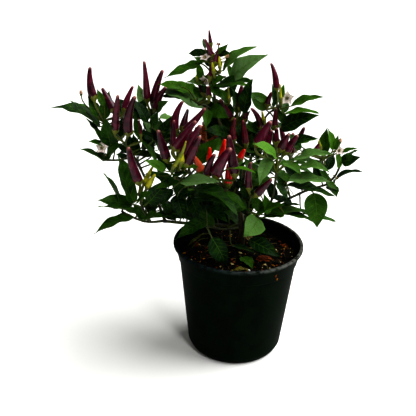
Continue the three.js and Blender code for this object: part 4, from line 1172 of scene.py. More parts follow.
BUNCHES = (
    BunchRow(
        "left_tip_purple", "left_tip", (104, 122, 5), Ripeness.PURPLE,
        (
            ((94, 99, 2), (90, 67, 10), 10, -0.06), ((115, 112, 0), (102, 88, 14), 10),
            ((124, 111, 8), (133, 86, 16), 8, -0.04),
        ),
    ),
    BunchRow(
        "left_inner_purple", "left_tip", (125, 144, 0), Ripeness.PURPLE,
        (((115, 132, -6), (118, 95, -10), 9.5), ((128, 134, -9), (135, 96, -12), 12, -0.07)),
    ),
    BunchRow(
        "left_low_purple", "left_low", (139, 194, -38), Ripeness.PURPLE,
        (((139, 183, -42), (128, 147, -44), 12, -0.03),),
    ),
    BunchRow(
        "left_low_young", "left_low", (141, 203, -36), Ripeness.YOUNG,
        (((144, 184, -32), (153, 166, -30), 6), ((147, 188, -36), (155, 174, -42), 7.5)),
    ),
    BunchRow(
        "left_back_purple", "left_back", (152, 114, 50), Ripeness.PURPLE,
        (
            ((147, 101, 46), (144, 61, 46), 9, 0.01), ((153, 105, 48), (163, 70, 48), 10.5, -0.04),
            ((155, 110, 42), (166, 87, 36), 10, -0.06),
        ),
    ),
    BunchRow(
        "mid_left_high_purple", "mid_left_high", (181, 136, 0), Ripeness.PURPLE,
        (
            ((175, 131, 4), (183, 101, 8), 10, -0.1), ((182, 130, 10), (188, 109, 20), 8.5),
            ((184, 131, -4), (205, 108, -12), 9.5, 0.03),
        ),
    ),
    BunchRow(
        "mid_left_purple", "mid_left", (177, 162, -28), Ripeness.PURPLE,
        (
            ((173, 147, -30), (174, 120, -28), 7.5), ((167, 160, -34), (158, 130, -38), 11.5),
            ((174, 149, -38), (196, 121, -42), 11),
        ),
    ),
    BunchRow(
        "mid_left_young", "mid_left", (184, 169, -25), Ripeness.YOUNG,
        (((178, 155, -18), (185, 141, -16), 6.5), ((180, 162, -34), (182, 153, -36), 9.5)),
    ),
    BunchRow(
        "front_left_purple", "front_left", (175, 177, -46), Ripeness.PURPLE,
        (((182, 157, -50), (201, 125, -54), 11.5), ((187, 165, -56), (200, 136, -62), 11)),
    ),
    BunchRow(
        "centre_front_purple", "centre_front", (214, 181, -35), Ripeness.PURPLE,
        (
            ((207, 176, -44), (215, 154, -50), 9.5, -0.06), ((215, 176, -48), (231, 148, -54), 14.5, -0.04),
            ((235, 175, -46), (229, 135, -46), 12.5),
        ),
    ),
    BunchRow(
        "centre_front_red", "centre_front", (224, 188, -26), Ripeness.RED,
        (
            ((202, 172, -30), (194, 156, -34), 10.5, FRUIT.bow, Ripeness.SALMON),
            ((209, 163, -26), (210, 147, -24), 7), ((221, 160, -30), (225, 139, -30), 8.5),
            ((229, 185, -36), (228, 164, -38), 9), ((239, 160, -26), (245, 149, -26), 8),
        ),
    ),
    BunchRow(
        "front_right_purple", "front_right", (251, 196, -43), Ripeness.PURPLE,
        (((249, 189, -48), (251, 162, -52), 9, -0.05), ((256, 195, -52), (272, 179, -58), 9.5)),
    ),
    BunchRow(
        "top_purple", "top", (210, 64, 18), Ripeness.PURPLE,
        (((211, 46, 18), (209, 30, 19), 4.5), ((213, 57, 12), (205, 39, 8), 6), ((214, 66, 24), (219, 49, 30), 7)),
    ),
    BunchRow(
        "top_young", "top", (212, 79, 18), Ripeness.YOUNG,
        (((213, 71, 12), (212, 61, 10), 5), ((220, 66, 20), (219, 55, 22), 5.5)),
    ),
    BunchRow(
        "upper_left_purple", "upper_left", (199, 103.5, 9.3), Ripeness.PURPLE,
        (((209, 97, 2), (209, 86, 0), 5.5), ((204, 95, 16), (198, 82, 22), 6)),
    ),
    BunchRow(
        "centre_high_purple", "centre_high", (237, 126, 24), Ripeness.PURPLE,
        (((232, 120, 18), (220, 99, 14), 9), ((238, 110, 24), (242, 85, 28), 9), ((245, 121, 22), (246, 98, 22), 7)),
    ),
    BunchRow(
        "centre_high_maroon", "centre_high", (231.5, 143, 17), Ripeness.MAROON,
        (((233, 141, 8), (235, 118, 4), 9, -0.05), ((246, 145, 12), (243, 120, 8), 9)),
    ),
    BunchRow(
        "right_high_purple", "right_high", (277, 108, 38), Ripeness.PURPLE,
        (((276, 91, 40), (271, 63, 46), 8.5, 0.06), ((267, 106, 30), (272, 92, 28), 7.5, -0.04)),
    ),
    BunchRow(
        "right_inner_purple", "right_high", (263, 123, 35), Ripeness.PURPLE,
        (((261, 128, 24), (251, 108, 18), 8, 0.08), ((275, 127, 28), (276, 108, 24), 7.5)),
    ),
    BunchRow(
        "right_mid_purple", "right_mid", (277, 168, -26), Ripeness.PURPLE,
        (
            ((257, 145, -28), (271, 121, -30), 12.5), ((266, 150, -20), (272, 130, -16), 9),
            ((276, 144, -22), (277, 128, -20), 8), ((280, 150, -34), (289, 134, -38), 10),
            ((285, 153, -28), (298, 135, -28), 10.5),
        ),
    ),
    BunchRow(
        "far_right_purple", "far_right", (322, 158, 5), Ripeness.PURPLE, (((314, 153, 0), (320, 143, -2), 6.5),),
    ),
)

# Leaves that differ from the rest of their twig, by their number: how young they are, and how strong their bloom is, a
# pale grey-green painted sheen on leaves that face the light.
TONES = {
    ("top", 5): (0.3, 0.3), ("top", 6): (0.35, 0.75), ("top", 9): (0.35, 0.5), ("left_back", 0): (0.3, 0.6),
    ("left_back", 2): (0.3, 0.7), ("left_back", 4): (0.3, 0.4), ("upper_left", 0): (0.3, 0.5),
    ("front_left", 2): (0.25, 0.6), ("right_mid", 1): (0.35, 0.45), ("right_mid", 2): (0.5, 0.2),
    ("right_mid", 3): (0.75, 0.15), ("right_mid", 4): (0.4, 0.6), ("right_low", 0): (0.3, 0.3),
    ("right_low", 1): (0.3, 0.6), ("right_high", 0): (0.25, 0.3), ("mid_left", 0): (0.75, 0.15),
    # Painted shade: the low youth of front_low 1 and front_right 1 darkens two leaves that hang in the plant's shade.
    ("front_low", 1): (-0.12, 0.0), ("front_right", 0): (0.3, 0.35), ("front_right", 1): (0.02, 0.0),
}

BACK_TWIGS = (
    BackRow("back_left", (222, 132, 13.6), (-62, 78, 224), 11, 5, 3),
    BackRow("back_low_left", (205, 223.8, -7.4), (-48, 74, 170), 23, 5, 0),
    BackRow("back_middle", (233, 175, 9.5), (12, 96, 214), 37, 6, 0),
    BackRow("back_right", (246, 169, 21), (68, 92, 222), 41, 5, 3),
)

FLOWERS = (
    FlowerRow("left_flower", "left_tip", (102, 148, -8), (96, 140, -40), 8),
    FlowerRow("top_flower", "top", (205, 58, 8), (202, 42, -2), 6.5),
    FlowerRow("top_side_flower", "top", (206, 80, 10), (196, 90, -2), 8),
    FlowerRow("right_flower", "right_high", (287, 98, 22), (289, 101, -20), 8.5),
    FlowerRow("far_right_flower", "far_right", (339, 151, 6), (345, 138, -14), 6.5),
)

BUDS = (
    BudRow("left_bud", "left_tip", (81, 95, 10), (81, 90, 10), 4),
    BudRow("top_bud", "top", (227, 59, 16), (227, 53, 16), 4.5),
    BudRow("far_right_bud", "far_right", (340, 143, 12), (341, 138, 12), 4),
)


# ---------------------------------------------------------------- wood, leaves, fruits, flowers


@dataclass
class Leaf:
    """One leaf: the foot of its stalk, its blade's base and tip, and how the blade is turned."""

    foot: Vector
    base: Vector
    tip: Vector
    seen: float | None = None  # breadth shown on the sheet, below 0 where its under face shows
    arch: float = BLADE.arch
    breadth: float | None = None
    youth: float = 0.2
    # bloom is the strength of a pale grey-green painted sheen, for leaves that face the light.
    bloom: float = 0.0
    finishes: tuple[int, int, int] = (0, 1, 2)  # upper face, under face, stalk

    def frame(self) -> tuple[Vector, Vector, Vector, Vector, float]:
        """Works out how the blade lies.

        Returns:
            Its run, its directions along, out of its upper face and sideways, and its breadth.
        """
        run = self.tip - self.base
        along = run.normalized()
        usual = self.breadth or run.length / BLADE.ratio
        shown = usual if self.seen is None else abs(self.seen) * SHEET.unit_at(self.base)
        facing = square_to(along, UP if self.seen is None else Vector(SHEET.eye) - self.base)
        square = along.cross(facing)
        breadth = max(usual, shown)
        turn = math.acos(min(1.0, shown / breadth)) * (-1 if (self.seen or 1) < 0 else 1) * (-1 if square.z < 0 else 1)
        face = facing * math.cos(turn) + square * math.sin(turn)
        return run, along, face, along.cross(face), breadth

    def grow(self, draft: Draft, draw: Dice) -> None:
        """Adds the leaf's blade and stalk to a draft.

        Args:
            draft: What it is added to.
            draw: Where its small differences from other leaves come from.
        """
        run, along, face, side, breadth = self.frame()
        length = run.length
        arch = self.arch * length * 4
        sweep = draw.draw(-BLADE.sway, BLADE.sway) * length
        curl = draw.draw(0.0, BLADE.curl) * length
        lop = draw.draw(-BLADE.lop, BLADE.lop)
        beat = draw.draw(0, math.tau)
        ripple = draw.draw(*BLADE.ripple) * breadth
        # The tint's third number is the strength of the painted sheen.
        tint = (max(0.0, self.youth + draw.draw(-0.16, 0.2)), draw.draw(0, 1), self.bloom)
        rows, stations = [], []
        for i in range(BLADE.rows + 1):
            v = 0.5 - 0.5 * math.cos(math.pi * (0.012 + 0.984 * i / BLADE.rows))
            stations.append(v)
            middle = self.base + run * v + face * (arch * v * (1 - v) - curl * v**3) + side * (sweep * v * (1 - v) * 2)
            half = max(0.35, breadth / 2 * swell(v, BLADE.rise, BLADE.fall) * (1 - 0.16 * ease(v, 0.62, 0.98)))
            upper, under = [], []
            for j in range(BLADE.columns + 1):
                x = -math.cos(math.pi * j / BLADE.columns)
                rise = abs(x) ** BLADE.vein_bend * BLADE.vein_slant
                quilt = abs(math.sin(math.pi * BLADE.veins * (v - rise))) - 0.5
                lift = BLADE.fold * half * (math.sqrt(x * x + 0.012) - 0.11)
                lift += BLADE.wave * breadth * math.sin(4 * math.pi * v) * x
                phase = 2 * math.pi * BLADE.ripples * v + beat * (1 if x > 0 else 1.7)
                lift += ripple * abs(x) ** 2.5 * math.sin(phase)
                lift += BLADE.quilt * half * quilt * ease(abs(x), 0.05, 0.3) * (1 - x**4)
                point = middle + side * (half * (1 + lop * (1 if x > 0 else -1) * abs(x)) * x) + face * lift
                thick = BLADE.thickness * (1 - 0.55 * abs(x))
                rib = BLADE.midrib * (1 - v) ** 0.6 * math.exp(-((x * half / 0.8) ** 2))
                upper.append(point + face * (thick / 2))
                under.append(point - face * (thick / 2 + rib))
            rows.append(upper + under[::-1])
        places = [0.5 - 0.5 * math.cos(math.pi * j / BLADE.columns) for j in range(BLADE.columns + 1)]
        faces = self.finishes[:2]
        draft.skin(rows, lambda share: faces[0 if share < 0.5 else 1], tint, places + places[::-1], stations)
        leaving = (self.base - self.foot).normalized()
        into = self.base + along * min(3.0, length * 0.08)
        stalk = stalk_run(self.foot, into, (leaving + UP * 0.15).normalized(), along)
        yellow = 0.25 + 0.5 * tint[0]
        draft.tube(stalk, lambda share: 1.05 - 0.4 * share, 9, (3, 0.08), finish=self.finishes[2], tint=(yellow, 0, 0))


@dataclass
class Fruit:
    """One upright fruit on its stalk, from the hub of its bunch to its tip."""

    hub: Vector
    base: Vector
    tip: Vector
    width: float
    bow: float = FRUIT.bow

    def grow(self, draft: Draft, skin: int, stalk: int, draw: Dice) -> None:
        """Adds the fruit, its cup and its stalk to a draft.

        Args:
            draft: What they are added to.
            skin: The number of the fruit's finish.
            stalk: The number of the cup's and the stalk's finish.
            draw: Where its small differences from other fruits come from.
        """
        run = self.tip - self.base
        length = run.length
        along = run.normalized()
        bow = BACK.cross(along) * (4 * self.bow * length)
        lot = draw.draw(0, 1)
        beat = draw.draw(0, math.tau)
        hook = square_to(along, Vector((draw.draw(-1, 1), draw.draw(-1, 1), 0.2))) * (draw.draw(0, FRUIT.hook) * length)
        broad, fine = FRUIT.lobes
        cap = FRUIT.blunt * self.width / 2 / length
        hint = square_to(along, BACK)
        other = along.cross(hint)
        rows = []
        for i in range(FRUIT.rings + 1):
            v = 0.5 - 0.5 * math.cos(math.pi * i / FRUIT.rings)
            middle = self.base + run * v + bow * (v * (1 - v)) + hook * max(0.0, v - 0.5) ** 2
            dome = math.sqrt(max(0.0, 1 - (max(0.0, v - 1 + cap) / cap) ** 2))
            dent = 1 + FRUIT.dent * math.sin(7 * v + beat) * min(1.0, 6 * v)
            reach = max(0.05, self.width / 2 * FRUIT.girth(v) * dome * dent)
            row = []
            for j in range(FRUIT.sides):
                angle = math.tau * j / FRUIT.sides
                lobe = 1 + (broad * math.cos(3 * angle + beat) + fine * math.cos(7 * angle + 5 * v)) * min(1.0, 5 * v)
                row.append(middle + (hint * math.cos(angle) + other * math.sin(angle)) * (reach * lobe))
            rows.append(row)
        draft.skin(rows, skin, (lot, 0, 0))
        self.cup(draft, stalk, along, lot, beat)
        rise = (self.base - self.hub).normalized()
        stem = stalk_run(self.hub, self.base - along * 2.4, (rise + UP * 0.35).normalized(), along)
        facts = {"finish": stalk, "tint": (0.35 + 0.4 * lot, 0, 0.2)}
        draft.tube(stem, lambda share: FRUIT.pedicel * (1 + 0.25 * ease(share, 0.5, 1.0)), 10, (5, 0.07), **facts)

    def cup(self, draft: Draft, finish: int, along: Vector, lot: float, beat: float) -> None:
        """Adds the cup that holds the fruit's shoulder, with its five short teeth.

        Args:
            draft: What it is added to.
            finish: The number of its finish.
            along: The fruit's direction.
            lot: How yellow it is, from 0 to 1.
            beat: The angle at which its first tooth stands.
        """
        wide = self.width * FRUIT.cup
        length = (self.tip - self.base).length
        hug = [(at, self.width / 2 * FRUIT.girth(at / length) + 0.3) for at in (0.7, 1.9, 3.0)]
        outside = [(-4.0, FRUIT.pedicel), (-2.8, wide * 0.52), (-1.4, wide * 0.84), (-0.2, wide + 0.1), *hug]
        edge = self.width / 2 * FRUIT.girth(3.8 / length)
        inside = [(3.8, edge + 0.2, 0.9), (3.7, edge - 0.3, 0.9), (0.4, wide * 0.6, 0.0)]
        profile = [(*pair, 0.0) for pair in outside] + inside  # mm along the fruit, radius, and swing of the teeth
        first = square_to(along, BACK)
        second = along.cross(first)
        rows = []
        for at, radius, tooth in profile:
            row = []
            for j in range(20):
                angle = math.tau * j / 20
                way = first * math.cos(angle) + second * math.sin(angle)
                row.append(self.base + along * (at + tooth * math.cos(5 * angle + beat)) + way * radius)
            rows.append(row)
        draft.skin(rows, finish, (0.75 + 0.3 * lot, 0, 0.2))


@dataclass
class Twig:
    """A leafy twig, grown from its row: where its wood runs, and where its leaves stand on it."""

    row: TwigRow
    hubs: Row
    curves: list[SmoothRun] = field(init=False)
    spots: Row = field(init=False)

    def __post_init__(self) -> None:
        """Lays the twig's wood and finds the spots on it where stalks may stand."""
        self.curves = [SmoothRun([spot(place) for place in run]) for run in self.row.runs]
        self.spots = []
        for curve in self.curves:
            middles = curve.spaced(WOOD.stretch)
            for start, end in zip(middles, middles[1:]):
                self.spots += [start.lerp(end, share) for share in WOOD.feet]

    def nearest(self, point: Vector, clear: bool = False) -> Vector:
        """Returns the spot on the twig nearest to a point.

        Args:
            point: The point.
            clear: Whether spots by the twig's root and by its bunches are left out.

        Returns:
            The spot.
        """
        taken = [curve.points[0] for curve in self.curves] + self.hubs if clear else []
        free = [s for s in self.spots if all((s - other).length > BLADE.aside for other in taken)]
        return min(free, key=lambda s: (s - point).length)

    def leaves(self) -> list[Leaf]:
        """Stands the twig's leaves on it.

        Returns:
            The leaves.
        """
        made = []
        for base, tip, *rest in self.row.leaves:
            base, tip = spot(base), spot(tip)
            seen = rest[0] if rest else None
            arch = rest[1] if len(rest) > 1 else BLADE.arch
            # TONES gives some leaves their own youth and the strength of their painted sheen.
            youth, bloom = TONES.get((self.row.name, len(made)), (self.row.youth, 0.0))
            made.append(Leaf(self.nearest(base, True), base, tip, seen, arch, youth=youth, bloom=bloom))
        return made

    def build(self) -> bpy.types.Object:
        """Builds the twig as one piece, with its wood, stalks and blades.

        Returns:
            The piece.
        """
        draft, draw = Draft(), Dice(self.row.name)
        leaves = self.leaves()
        nodes = [leaf.foot for leaf in leaves] + self.hubs
        for curve in self.curves:
            grow_wood(draft, curve, WOOD.start, WOOD.end, nodes, 3, 0.0)
        for leaf in leaves:
            leaf.grow(draft, draw)
        finishes = [*LEAFY, StemBark()]
        return draft.piece(self.row.name + "_sprig", "leaf_green", finishes, [self.row.name + "_twig"], 70)


def grow_wood(draft: Draft, curve: SmoothRun, start: float, end: float, nodes: Row, finish: int, age: float) -> None:
    """Adds one run of wood, swollen a little and darker where anything grows from it.

    Args:
        draft: What it is added to.
        curve: Its middle.
        start: Its radius in mm at its start.
        end: Its radius at its end.
        nodes: Where things grow from it.
        finish: The number of its finish.
        age: How brown and corky it is at its start, from 0 to 1.
    """
    middles = curve.spaced(2.6)
    swells = [max((ease(-(middle - n).length, -4.0, -0.5) for n in nodes), default=0.0) for middle in middles]
    last = len(middles) - 1
    sides = 12

    def radius(share: float) -> float:
        """Works out how thick the wood is.

        Args:
            share: How far along it is, from 0 to 1.

        Returns:
            The radius in mm.
        """
        middle = middles[round(share * last)]
        uneven = 1 + 0.09 * noise.noise(middle / 9)
        return (start + (end - start) * share) * (uneven + 0.22 * swells[round(share * last)])

    def tint(i: int, j: int) -> Place:
        """Returns how old the wood is, and how near a node."""
        return (age * (1 - 0.8 * min(1.0, i / last)), 0.0, swells[min(last, i)])

    draft.tube(middles, radius, sides, (5, 0.05), finish=finish, tint=tint)


@dataclass
class Stem:
    """The woody stem with its limbs."""

    def build(self) -> bpy.types.Object:
        """Builds the stem as one piece.

        Returns:
            The piece.
        """
        draft = Draft()
        joints = [spot(run[0]) for run, _, _ in LIMBS[1:]]
        for k, (run, start, end) in enumerate(LIMBS):
            curve = SmoothRun([spot(place) for place in run])
            grow_wood(draft, curve, start, end, joints, 0, 0.9 if k == 0 else 0.35)
        return draft.piece("woody_stem", "stem_wood", [StemBark()], ["main_stem"], 70)


@dataclass
class Bunch:
    """A bunch of fruits on one hub."""

    row: BunchRow

    def build(self) -> bpy.types.Object:
        """Builds the bunch as one piece.

        Returns:
            The piece.
        """
        draft, draw = Draft(), Dice(self.row.name)
        hub = spot(self.row.hub)
        kinds = [self.row.ripeness, *(row[4] for row in self.row.fruits if len(row) > 4)]
        kinds = list(dict.fromkeys(kinds))
        for base, tip, width, *own in self.row.fruits:
            fruit = Fruit(hub, spot(base), spot(tip), width, *own[:1])
            fruit.grow(draft, kinds.index(own[1] if len(own) > 1 else self.row.ripeness), len(kinds), draw)
        draft.lump(hub, Vector((2.3, 2.3, 2.8)), Matrix.Identity(3), draw, 0.25, finish=len(kinds), tint=(0.35, 0, 0.5))
        finishes = [PepperSkin(kind) for kind in kinds] + [GreenStalk()]
        slot = self.row.ripeness.name.lower() + "_fruit_skin"
        return draft.piece(self.row.name + "_bunch", slot, finishes, [self.row.name + "_fruits"], 60)


@dataclass
class Flower:
    """An open flower: five pointed petals, a ring of anthers and a green cup, on its stalk."""

    row: FlowerRow
    foot: Vector
    petals: int = 5
    cupping: float = 0.25

    def build(self) -> bpy.types.Object:
        """Builds the flower as one piece.

        Returns:
            The piece.
        """
        draft, draw = Draft(), Dice(self.row.name)
        centre = spot(self.row.centre)
        facing = (spot(self.row.towards) - centre).normalized()
        first = square_to(facing, UP)
        second = first.cross(facing)
        for k in range(self.petals):
            angle = math.tau * k / self.petals
            out = first * math.cos(angle) + second * math.sin(angle)
            self.petal(draft, centre, facing, out, draw)
            anther = centre + out * 1.15 + facing * 2.2
            tilt = (facing + out * 0.3).to_track_quat("Z", "X").to_matrix()
            draft.lump(anther, Vector((0.55, 0.55, 1.25)), tilt, draw, 0.1, finish=1)
            draft.tube([centre, anther], lambda share: 0.22, 6, finish=0)
        upright = facing.to_track_quat("Z", "X").to_matrix()
        draft.lump(centre + facing * 2.9, Vector((0.45, 0.45, 0.6)), upright, draw, 0.1, finish=2, tint=(0.9, 0, 0))
        draft.tube([centre, centre + facing * 3.0], lambda share: 0.24, 6, finish=2, tint=(0.8, 0, 0))
        back = centre - facing * 1.6
        leaving = ((back - self.foot).normalized() + UP * 0.6).normalized()
        run = stalk_run(self.foot, back, leaving, facing)
        draft.tube(run, lambda share: 0.75 + 0.35 * ease(share, 0.75, 1), 9, finish=2, tint=(0.45, 0, 0.1))
        draft.tube(
            [back, back + facing * 0.8, centre + facing * 0.5],
            lambda share: 1.2 + 1.4 * share,
            15,
            (5, 0.12),
            finish=2,
            tint=(0.4, 0, 0.1),
        )
        finishes = [PetalTissue(), DryTissue("anther_pollen", "#4a3a4a", "#a8986a"), GreenStalk()]
        return draft.piece(self.row.name + "_bloom", "petal", finishes, [self.row.name], 60)

    def petal(self, draft: Draft, centre: Vector, facing: Vector, out: Vector, draw: Dice) -> None:
        """Adds one petal.

        Args:
            draft: What it is added to.
            centre: The flower's centre.
            facing: The way that the flower looks.
            out: The petal's direction from the centre.
            draw: Where its small differences from the others come from.
        """
        side = out.cross(facing)
        size = self.row.size
        twist = draw.draw(-0.12, 0.12)
        dip = draw.draw(0.0, 0.16)
        rows = []
        for i in range(9):
            v = i / 8
            half = size * (0.2 + 0.26 * math.sin(math.pi * min(1.0, v * 1.08) ** 0.8)) * (1 - v**2.8) + 0.05
            if v < 0.15:
                half = size * 0.24
            middle = centre + out * (size * v) + facing * (self.cupping * size * v - dip * size * v**3)
            upper, under = [], []
            for j in range(7):
                x = -1 + j / 3
                lift = size * (0.07 * x * x - 0.03 * (1 - abs(x)) + twist * x * v)
                point = middle + side * (half * x) + facing * lift
                upper.append(point + facing * 0.16)
                under.append(point - facing * 0.16)
            rows.append(upper + under[::-1])
        places = [j / 6 for j in range(7)]
        draft.skin(rows, 0, (0, 0, 0), places + places[::-1])


@dataclass
class Bud:
    """A closed bud with its green cup, on its stalk."""

    row: BudRow
    foot: Vector

    def build(self) -> bpy.types.Object:
        """Builds the bud as one piece.

        Returns:
            The piece.
        """
        draft = Draft()
        base, tip = spot(self.row.base), spot(self.row.tip)
        along = (tip - base).normalized()
        half = self.row.width / 2
        shares = [0.5 - 0.5 * math.cos(math.pi * (0.04 + 0.94 * k / 11)) for k in range(12)]
        middles = [base.lerp(tip, share) for share in shares]
        girths = [half * max(0.08, swell(share, 0.5, 0.62)) for share in shares]
        draft.tube(middles, lambda share: girths[round(share * 11)], 20, (5, 0.05), finish=0)
        cup = [base - along * 1.2, base - along * 0.3, base + along * 0.9, base + along * 1.9]
        flare = half * 0.86 - 0.5
        facts = {"finish": 1, "tint": (0.4, 0, 0.1)}
        draft.tube(cup, lambda share: 0.7 + flare * min(1.0, share * 1.3), 15, (5, 0.08), **facts)
        leaving = ((base - self.foot).normalized() + UP * 0.3).normalized()
        draft.tube(stalk_run(self.foot, base, leaving, along), lambda share: 0.75, 9, finish=1, tint=(0.4, 0, 0.15))
        finishes = [DryTissue("bud_petals", "#8a5a4c", "#c4a48c"), GreenStalk()]
        return draft.piece(self.row.name + "_closed", "bud", finishes, [self.row.name], 60)


def back_twig(row: BackRow) -> TwigRow:
    """Lays a twig of the back with its leaves placed by the rule: out to its two sides in turn.

    Args:
        row: Where the twig runs, its seed and how many leaves it has.

    Returns:
        The twig's row.
    """
    draw = Dice(row.seed)
    start, tip = spot(row.root), Vector(row.end)
    middle = start.lerp(tip, 0.5) + UP * (BEHIND.sag * (tip - start).length)
    run = SmoothRun([start, middle, tip])
    level = Vector((*(tip - start).xy, 0)).normalized()
    leaves = []
    for k in range(row.leaves):
        share = BEHIND.first + (1 - BEHIND.first) * k / (row.leaves - 1)
        turn = (1 if k % 2 else -1) * draw.draw(*BEHIND.spread) * (0.2 if k == row.leaves - 1 else 1)
        out = Matrix.Rotation(math.radians(turn), 3, "Z") @ level
        base = run.point(share) + out * BEHIND.stalk + UP * draw.draw(*BEHIND.lift)
        point = base + out * draw.draw(*BEHIND.length)
        leaves.append((base, point + UP * draw.draw(*BEHIND.droop)))
    return TwigRow(row.name, ((start, middle, tip),), tuple(leaves))


def back_bunch(row: BackRow, twig: TwigRow) -> BunchRow:
    """Lays the bunch that a twig of the back carries near its end.

    Args:
        row: How many fruits it has.
        twig: The twig that carries it.

    Returns:
        The bunch's row.
    """
    hub = SmoothRun(twig.runs[0]).point(BEHIND.hub)
    fruits = []
    for k in range(row.fruits):
        out = Matrix.Rotation(math.tau * (k + 0.5) / row.fruits, 3, "Z") @ BACK
        along = (UP + out * BEHIND.lean).normalized()
        base = hub + along * BEHIND.fruit_stalk
        fruits.append((base, base + along * BEHIND.fruit_length, BEHIND.fruit_width))
    return BunchRow(row.name + "_purple", row.name, hub, Ripeness.PURPLE, tuple(fruits))


# ---------------------------------------------------------------- the crowded middle and what has withered

# Leaves of the crowded middle, on short stalks from the nearest wood: base, tip, breadth shown, youth.
INNER = {
    "left_inner": (
        ((104, 119, 4), (109, 91, 12), 12, 0.3), ((97, 117, 0), (88, 95, 4), 9, 0.15),
        ((115, 150, 12), (109, 127, 16), 7, 0.1), ((133, 112, 22), (117, 98, 26), 9, 0.1),
        ((147, 122, 16), (134, 99, 22), 10, 0.05), ((153, 139, 10), (140, 130, 14), 8, 0.0),
        ((152, 126, 12), (158, 111, 10), 8, 0.1), ((168, 142, 14), (151, 117, 20), 12, 0.05),
        ((160, 139, 8), (172, 116, 10), 10, 0.05), ((122, 139, 16), (117, 118, 20), 8, 0.05),
        ((176, 172, 16), (163, 161, 20), 8, 0.05), ((186, 199, 2), (171, 181, 8), 11, 0.0),
        ((176, 193, 0), (186, 178, 6), 10, 0.05), ((146, 218, -18), (133, 204, -20), 10, 0.1),
        ((176, 216, -18), (160, 202, -16), 11, 0.05), ((182, 218, -20), (148, 214, -26), 6, 0.2),
        ((170, 212, -14), (180, 198, -8), 8, 0.0), ((196, 93, 34), (162, 85, 62), 11, 0.3),
        ((172, 178, 10), (152, 174, 12), 9, 0.05), ((169, 187, 8), (157, 169, 12), 9, 0.05),
        ((104, 106, 4), (97, 89, 8), 8, 0.3), ((184, 98, 40), (159, 96, 44), 6, 0.3),
        ((139, 137, 18), (134, 116, 20), 9, 0.05), ((138, 214, -16), (98, 205, -14), 6, 0.2),
        ((182, 87, 40), (158, 84, 44), 8, 0.35), ((97, 151, 4), (107, 161, 0), 7, 0.05),
        ((129, 150, 12), (117, 146, 14), 7, 0.05), ((166, 167, 10), (155, 152, 12), 8, 0.15),
        ((132, 149, 12), (128, 133, 14), 8, 0.05), ((146, 208, -16), (142, 196, -14), 6, 0.0),
        ((101, 140, -4), (85, 117, 0), 5, 0.1), ((129, 158, 8), (116, 154, 10), 6, 0.2),
        ((128, 170, 6), (121, 158, 8), 7, 0.1), ((176, 219, -16), (163, 217, -18), 5, 0.1),
    ),
    "top_inner": (
        ((200, 83, 14), (198, 61, 14), 8, 0.15), ((213, 79, 20), (186, 82, 14), 4.5, 0.45),
        ((208, 82, 16), (223, 96, 8), 7, 0.4), ((244, 113, 18), (252, 79, 16), 13, 0.0),
        ((240, 112, 24), (232, 87, 26), 8, 0.0), ((231, 121, 30), (211, 96, 32), 15, 0.0),
        ((229, 105, 22), (217, 87, 22), 8, 0.05), ((216, 119, 30), (204, 100, 32), 10, 0.0),
        ((212, 58, 20), (199, 49, 20), 8, 0.15), ((212, 66, 20), (202, 56, 24), 7, 0.1),
        ((217, 56, 18), (228, 44, 20), 7, 0.2), ((222, 100, 28), (238, 84, 32), 10, 0.0),
        ((211, 82, 14), (226, 76, 12), 7, 0.4), ((216, 88, 14), (248, 84, 8), 7, 0.3),
        ((204, 62, 16), (194, 57, 14), 6, 0.3), ((232, 78, 16), (227, 63, 16), 6, 0.2),
        ((208, 92, 10), (201, 85, 12), 7, 0.05),
    ),
    "middle_inner": (
        ((247, 140, 18), (230, 116, 26), 11, 0.0), ((232, 131, 24), (212, 117, 30), 11, 0.05),
        ((246, 156, 12), (231, 142, 18), 10, 0.0), ((257, 181, 4), (243, 156, 12), 10, 0.05),
        ((249, 198, -6), (239, 183, 0), 9, 0.05), ((234, 214, 16), (203, 198, 26), 14, 0.0),
        ((217, 217, 2), (186, 206, 10), 13, 0.0), ((252, 214, -22), (231, 199, -14), 11, 0.05),
        ((264, 212, -28), (250, 194, -18), 11, 0.05), ((268, 214, -34), (264, 193, -30), 8, 0.1),
        ((200, 214, 0), (177, 199, 6), 13, 0.0), ((222, 196, 14), (240, 182, 10), 10, 0.05),
        ((250, 132, 30), (263, 118, 34), 9, 0.0), ((258, 150, 22), (246, 131, 26), 9, 0.0),
        ((234, 168, -58), (256, 172, -66), 2.6, 0.5), ((170, 171, -40), (197, 167, -50), 3.0, 0.5),
    ),
    "right_inner": (
        ((277, 183, 10), (287, 201, 4), 6, 0.6), ((297, 178, 12), (283, 165, 16), 8, 0.2),
        ((285, 188, 6), (275, 172, 10), 8, 0.15), ((336, 150, 2), (338, 135, 6), 6, 0.5),
        ((341, 153, 8), (357, 148, 4), 4, 0.3), ((287, 123, 28), (275, 109, 32), 9, 0.05),
        ((268, 103, 34), (249, 92, 32), 9, 0.2), ((282, 152, 22), (271, 133, 28), 9, 0.0),
        ((300, 150, 12), (288, 132, 16), 8, 0.1), ((262, 176, 4), (275, 160, 10), 9, 0.1),
        ((292, 204, -14), (268, 196, -10), 6, 0.1), ((300, 143, 20), (318, 138, 16), 5, 0.2),
        ((275, 199, -4), (265, 178, 0), 10, 0.15), ((273, 107, 14), (272, 84, 14), 5, 0.1),
        ((285, 114, 20), (319, 112, 10), 5, 0.3), ((339, 168, 4), (336, 150, 4), 6, 0.3),
        ((284, 216, -30), (264, 217, -28), 5, 0.2), ((333, 150, 4), (328, 128, 6), 7, 0.4),
        ((284, 214, -20), (316, 222, -16), 6, 0.2), ((281, 98, 18), (284, 84, 18), 6, 0.6),
        ((326, 182, -6), (339, 191, -8), 6, 0.2), ((328, 181, -2), (319, 169, 0), 6, 0.1),
        ((306, 164, 10), (293, 162, 10), 4, 0.2), ((278, 207, -10), (300, 204, -12), 4, 0.2),
    ),
}

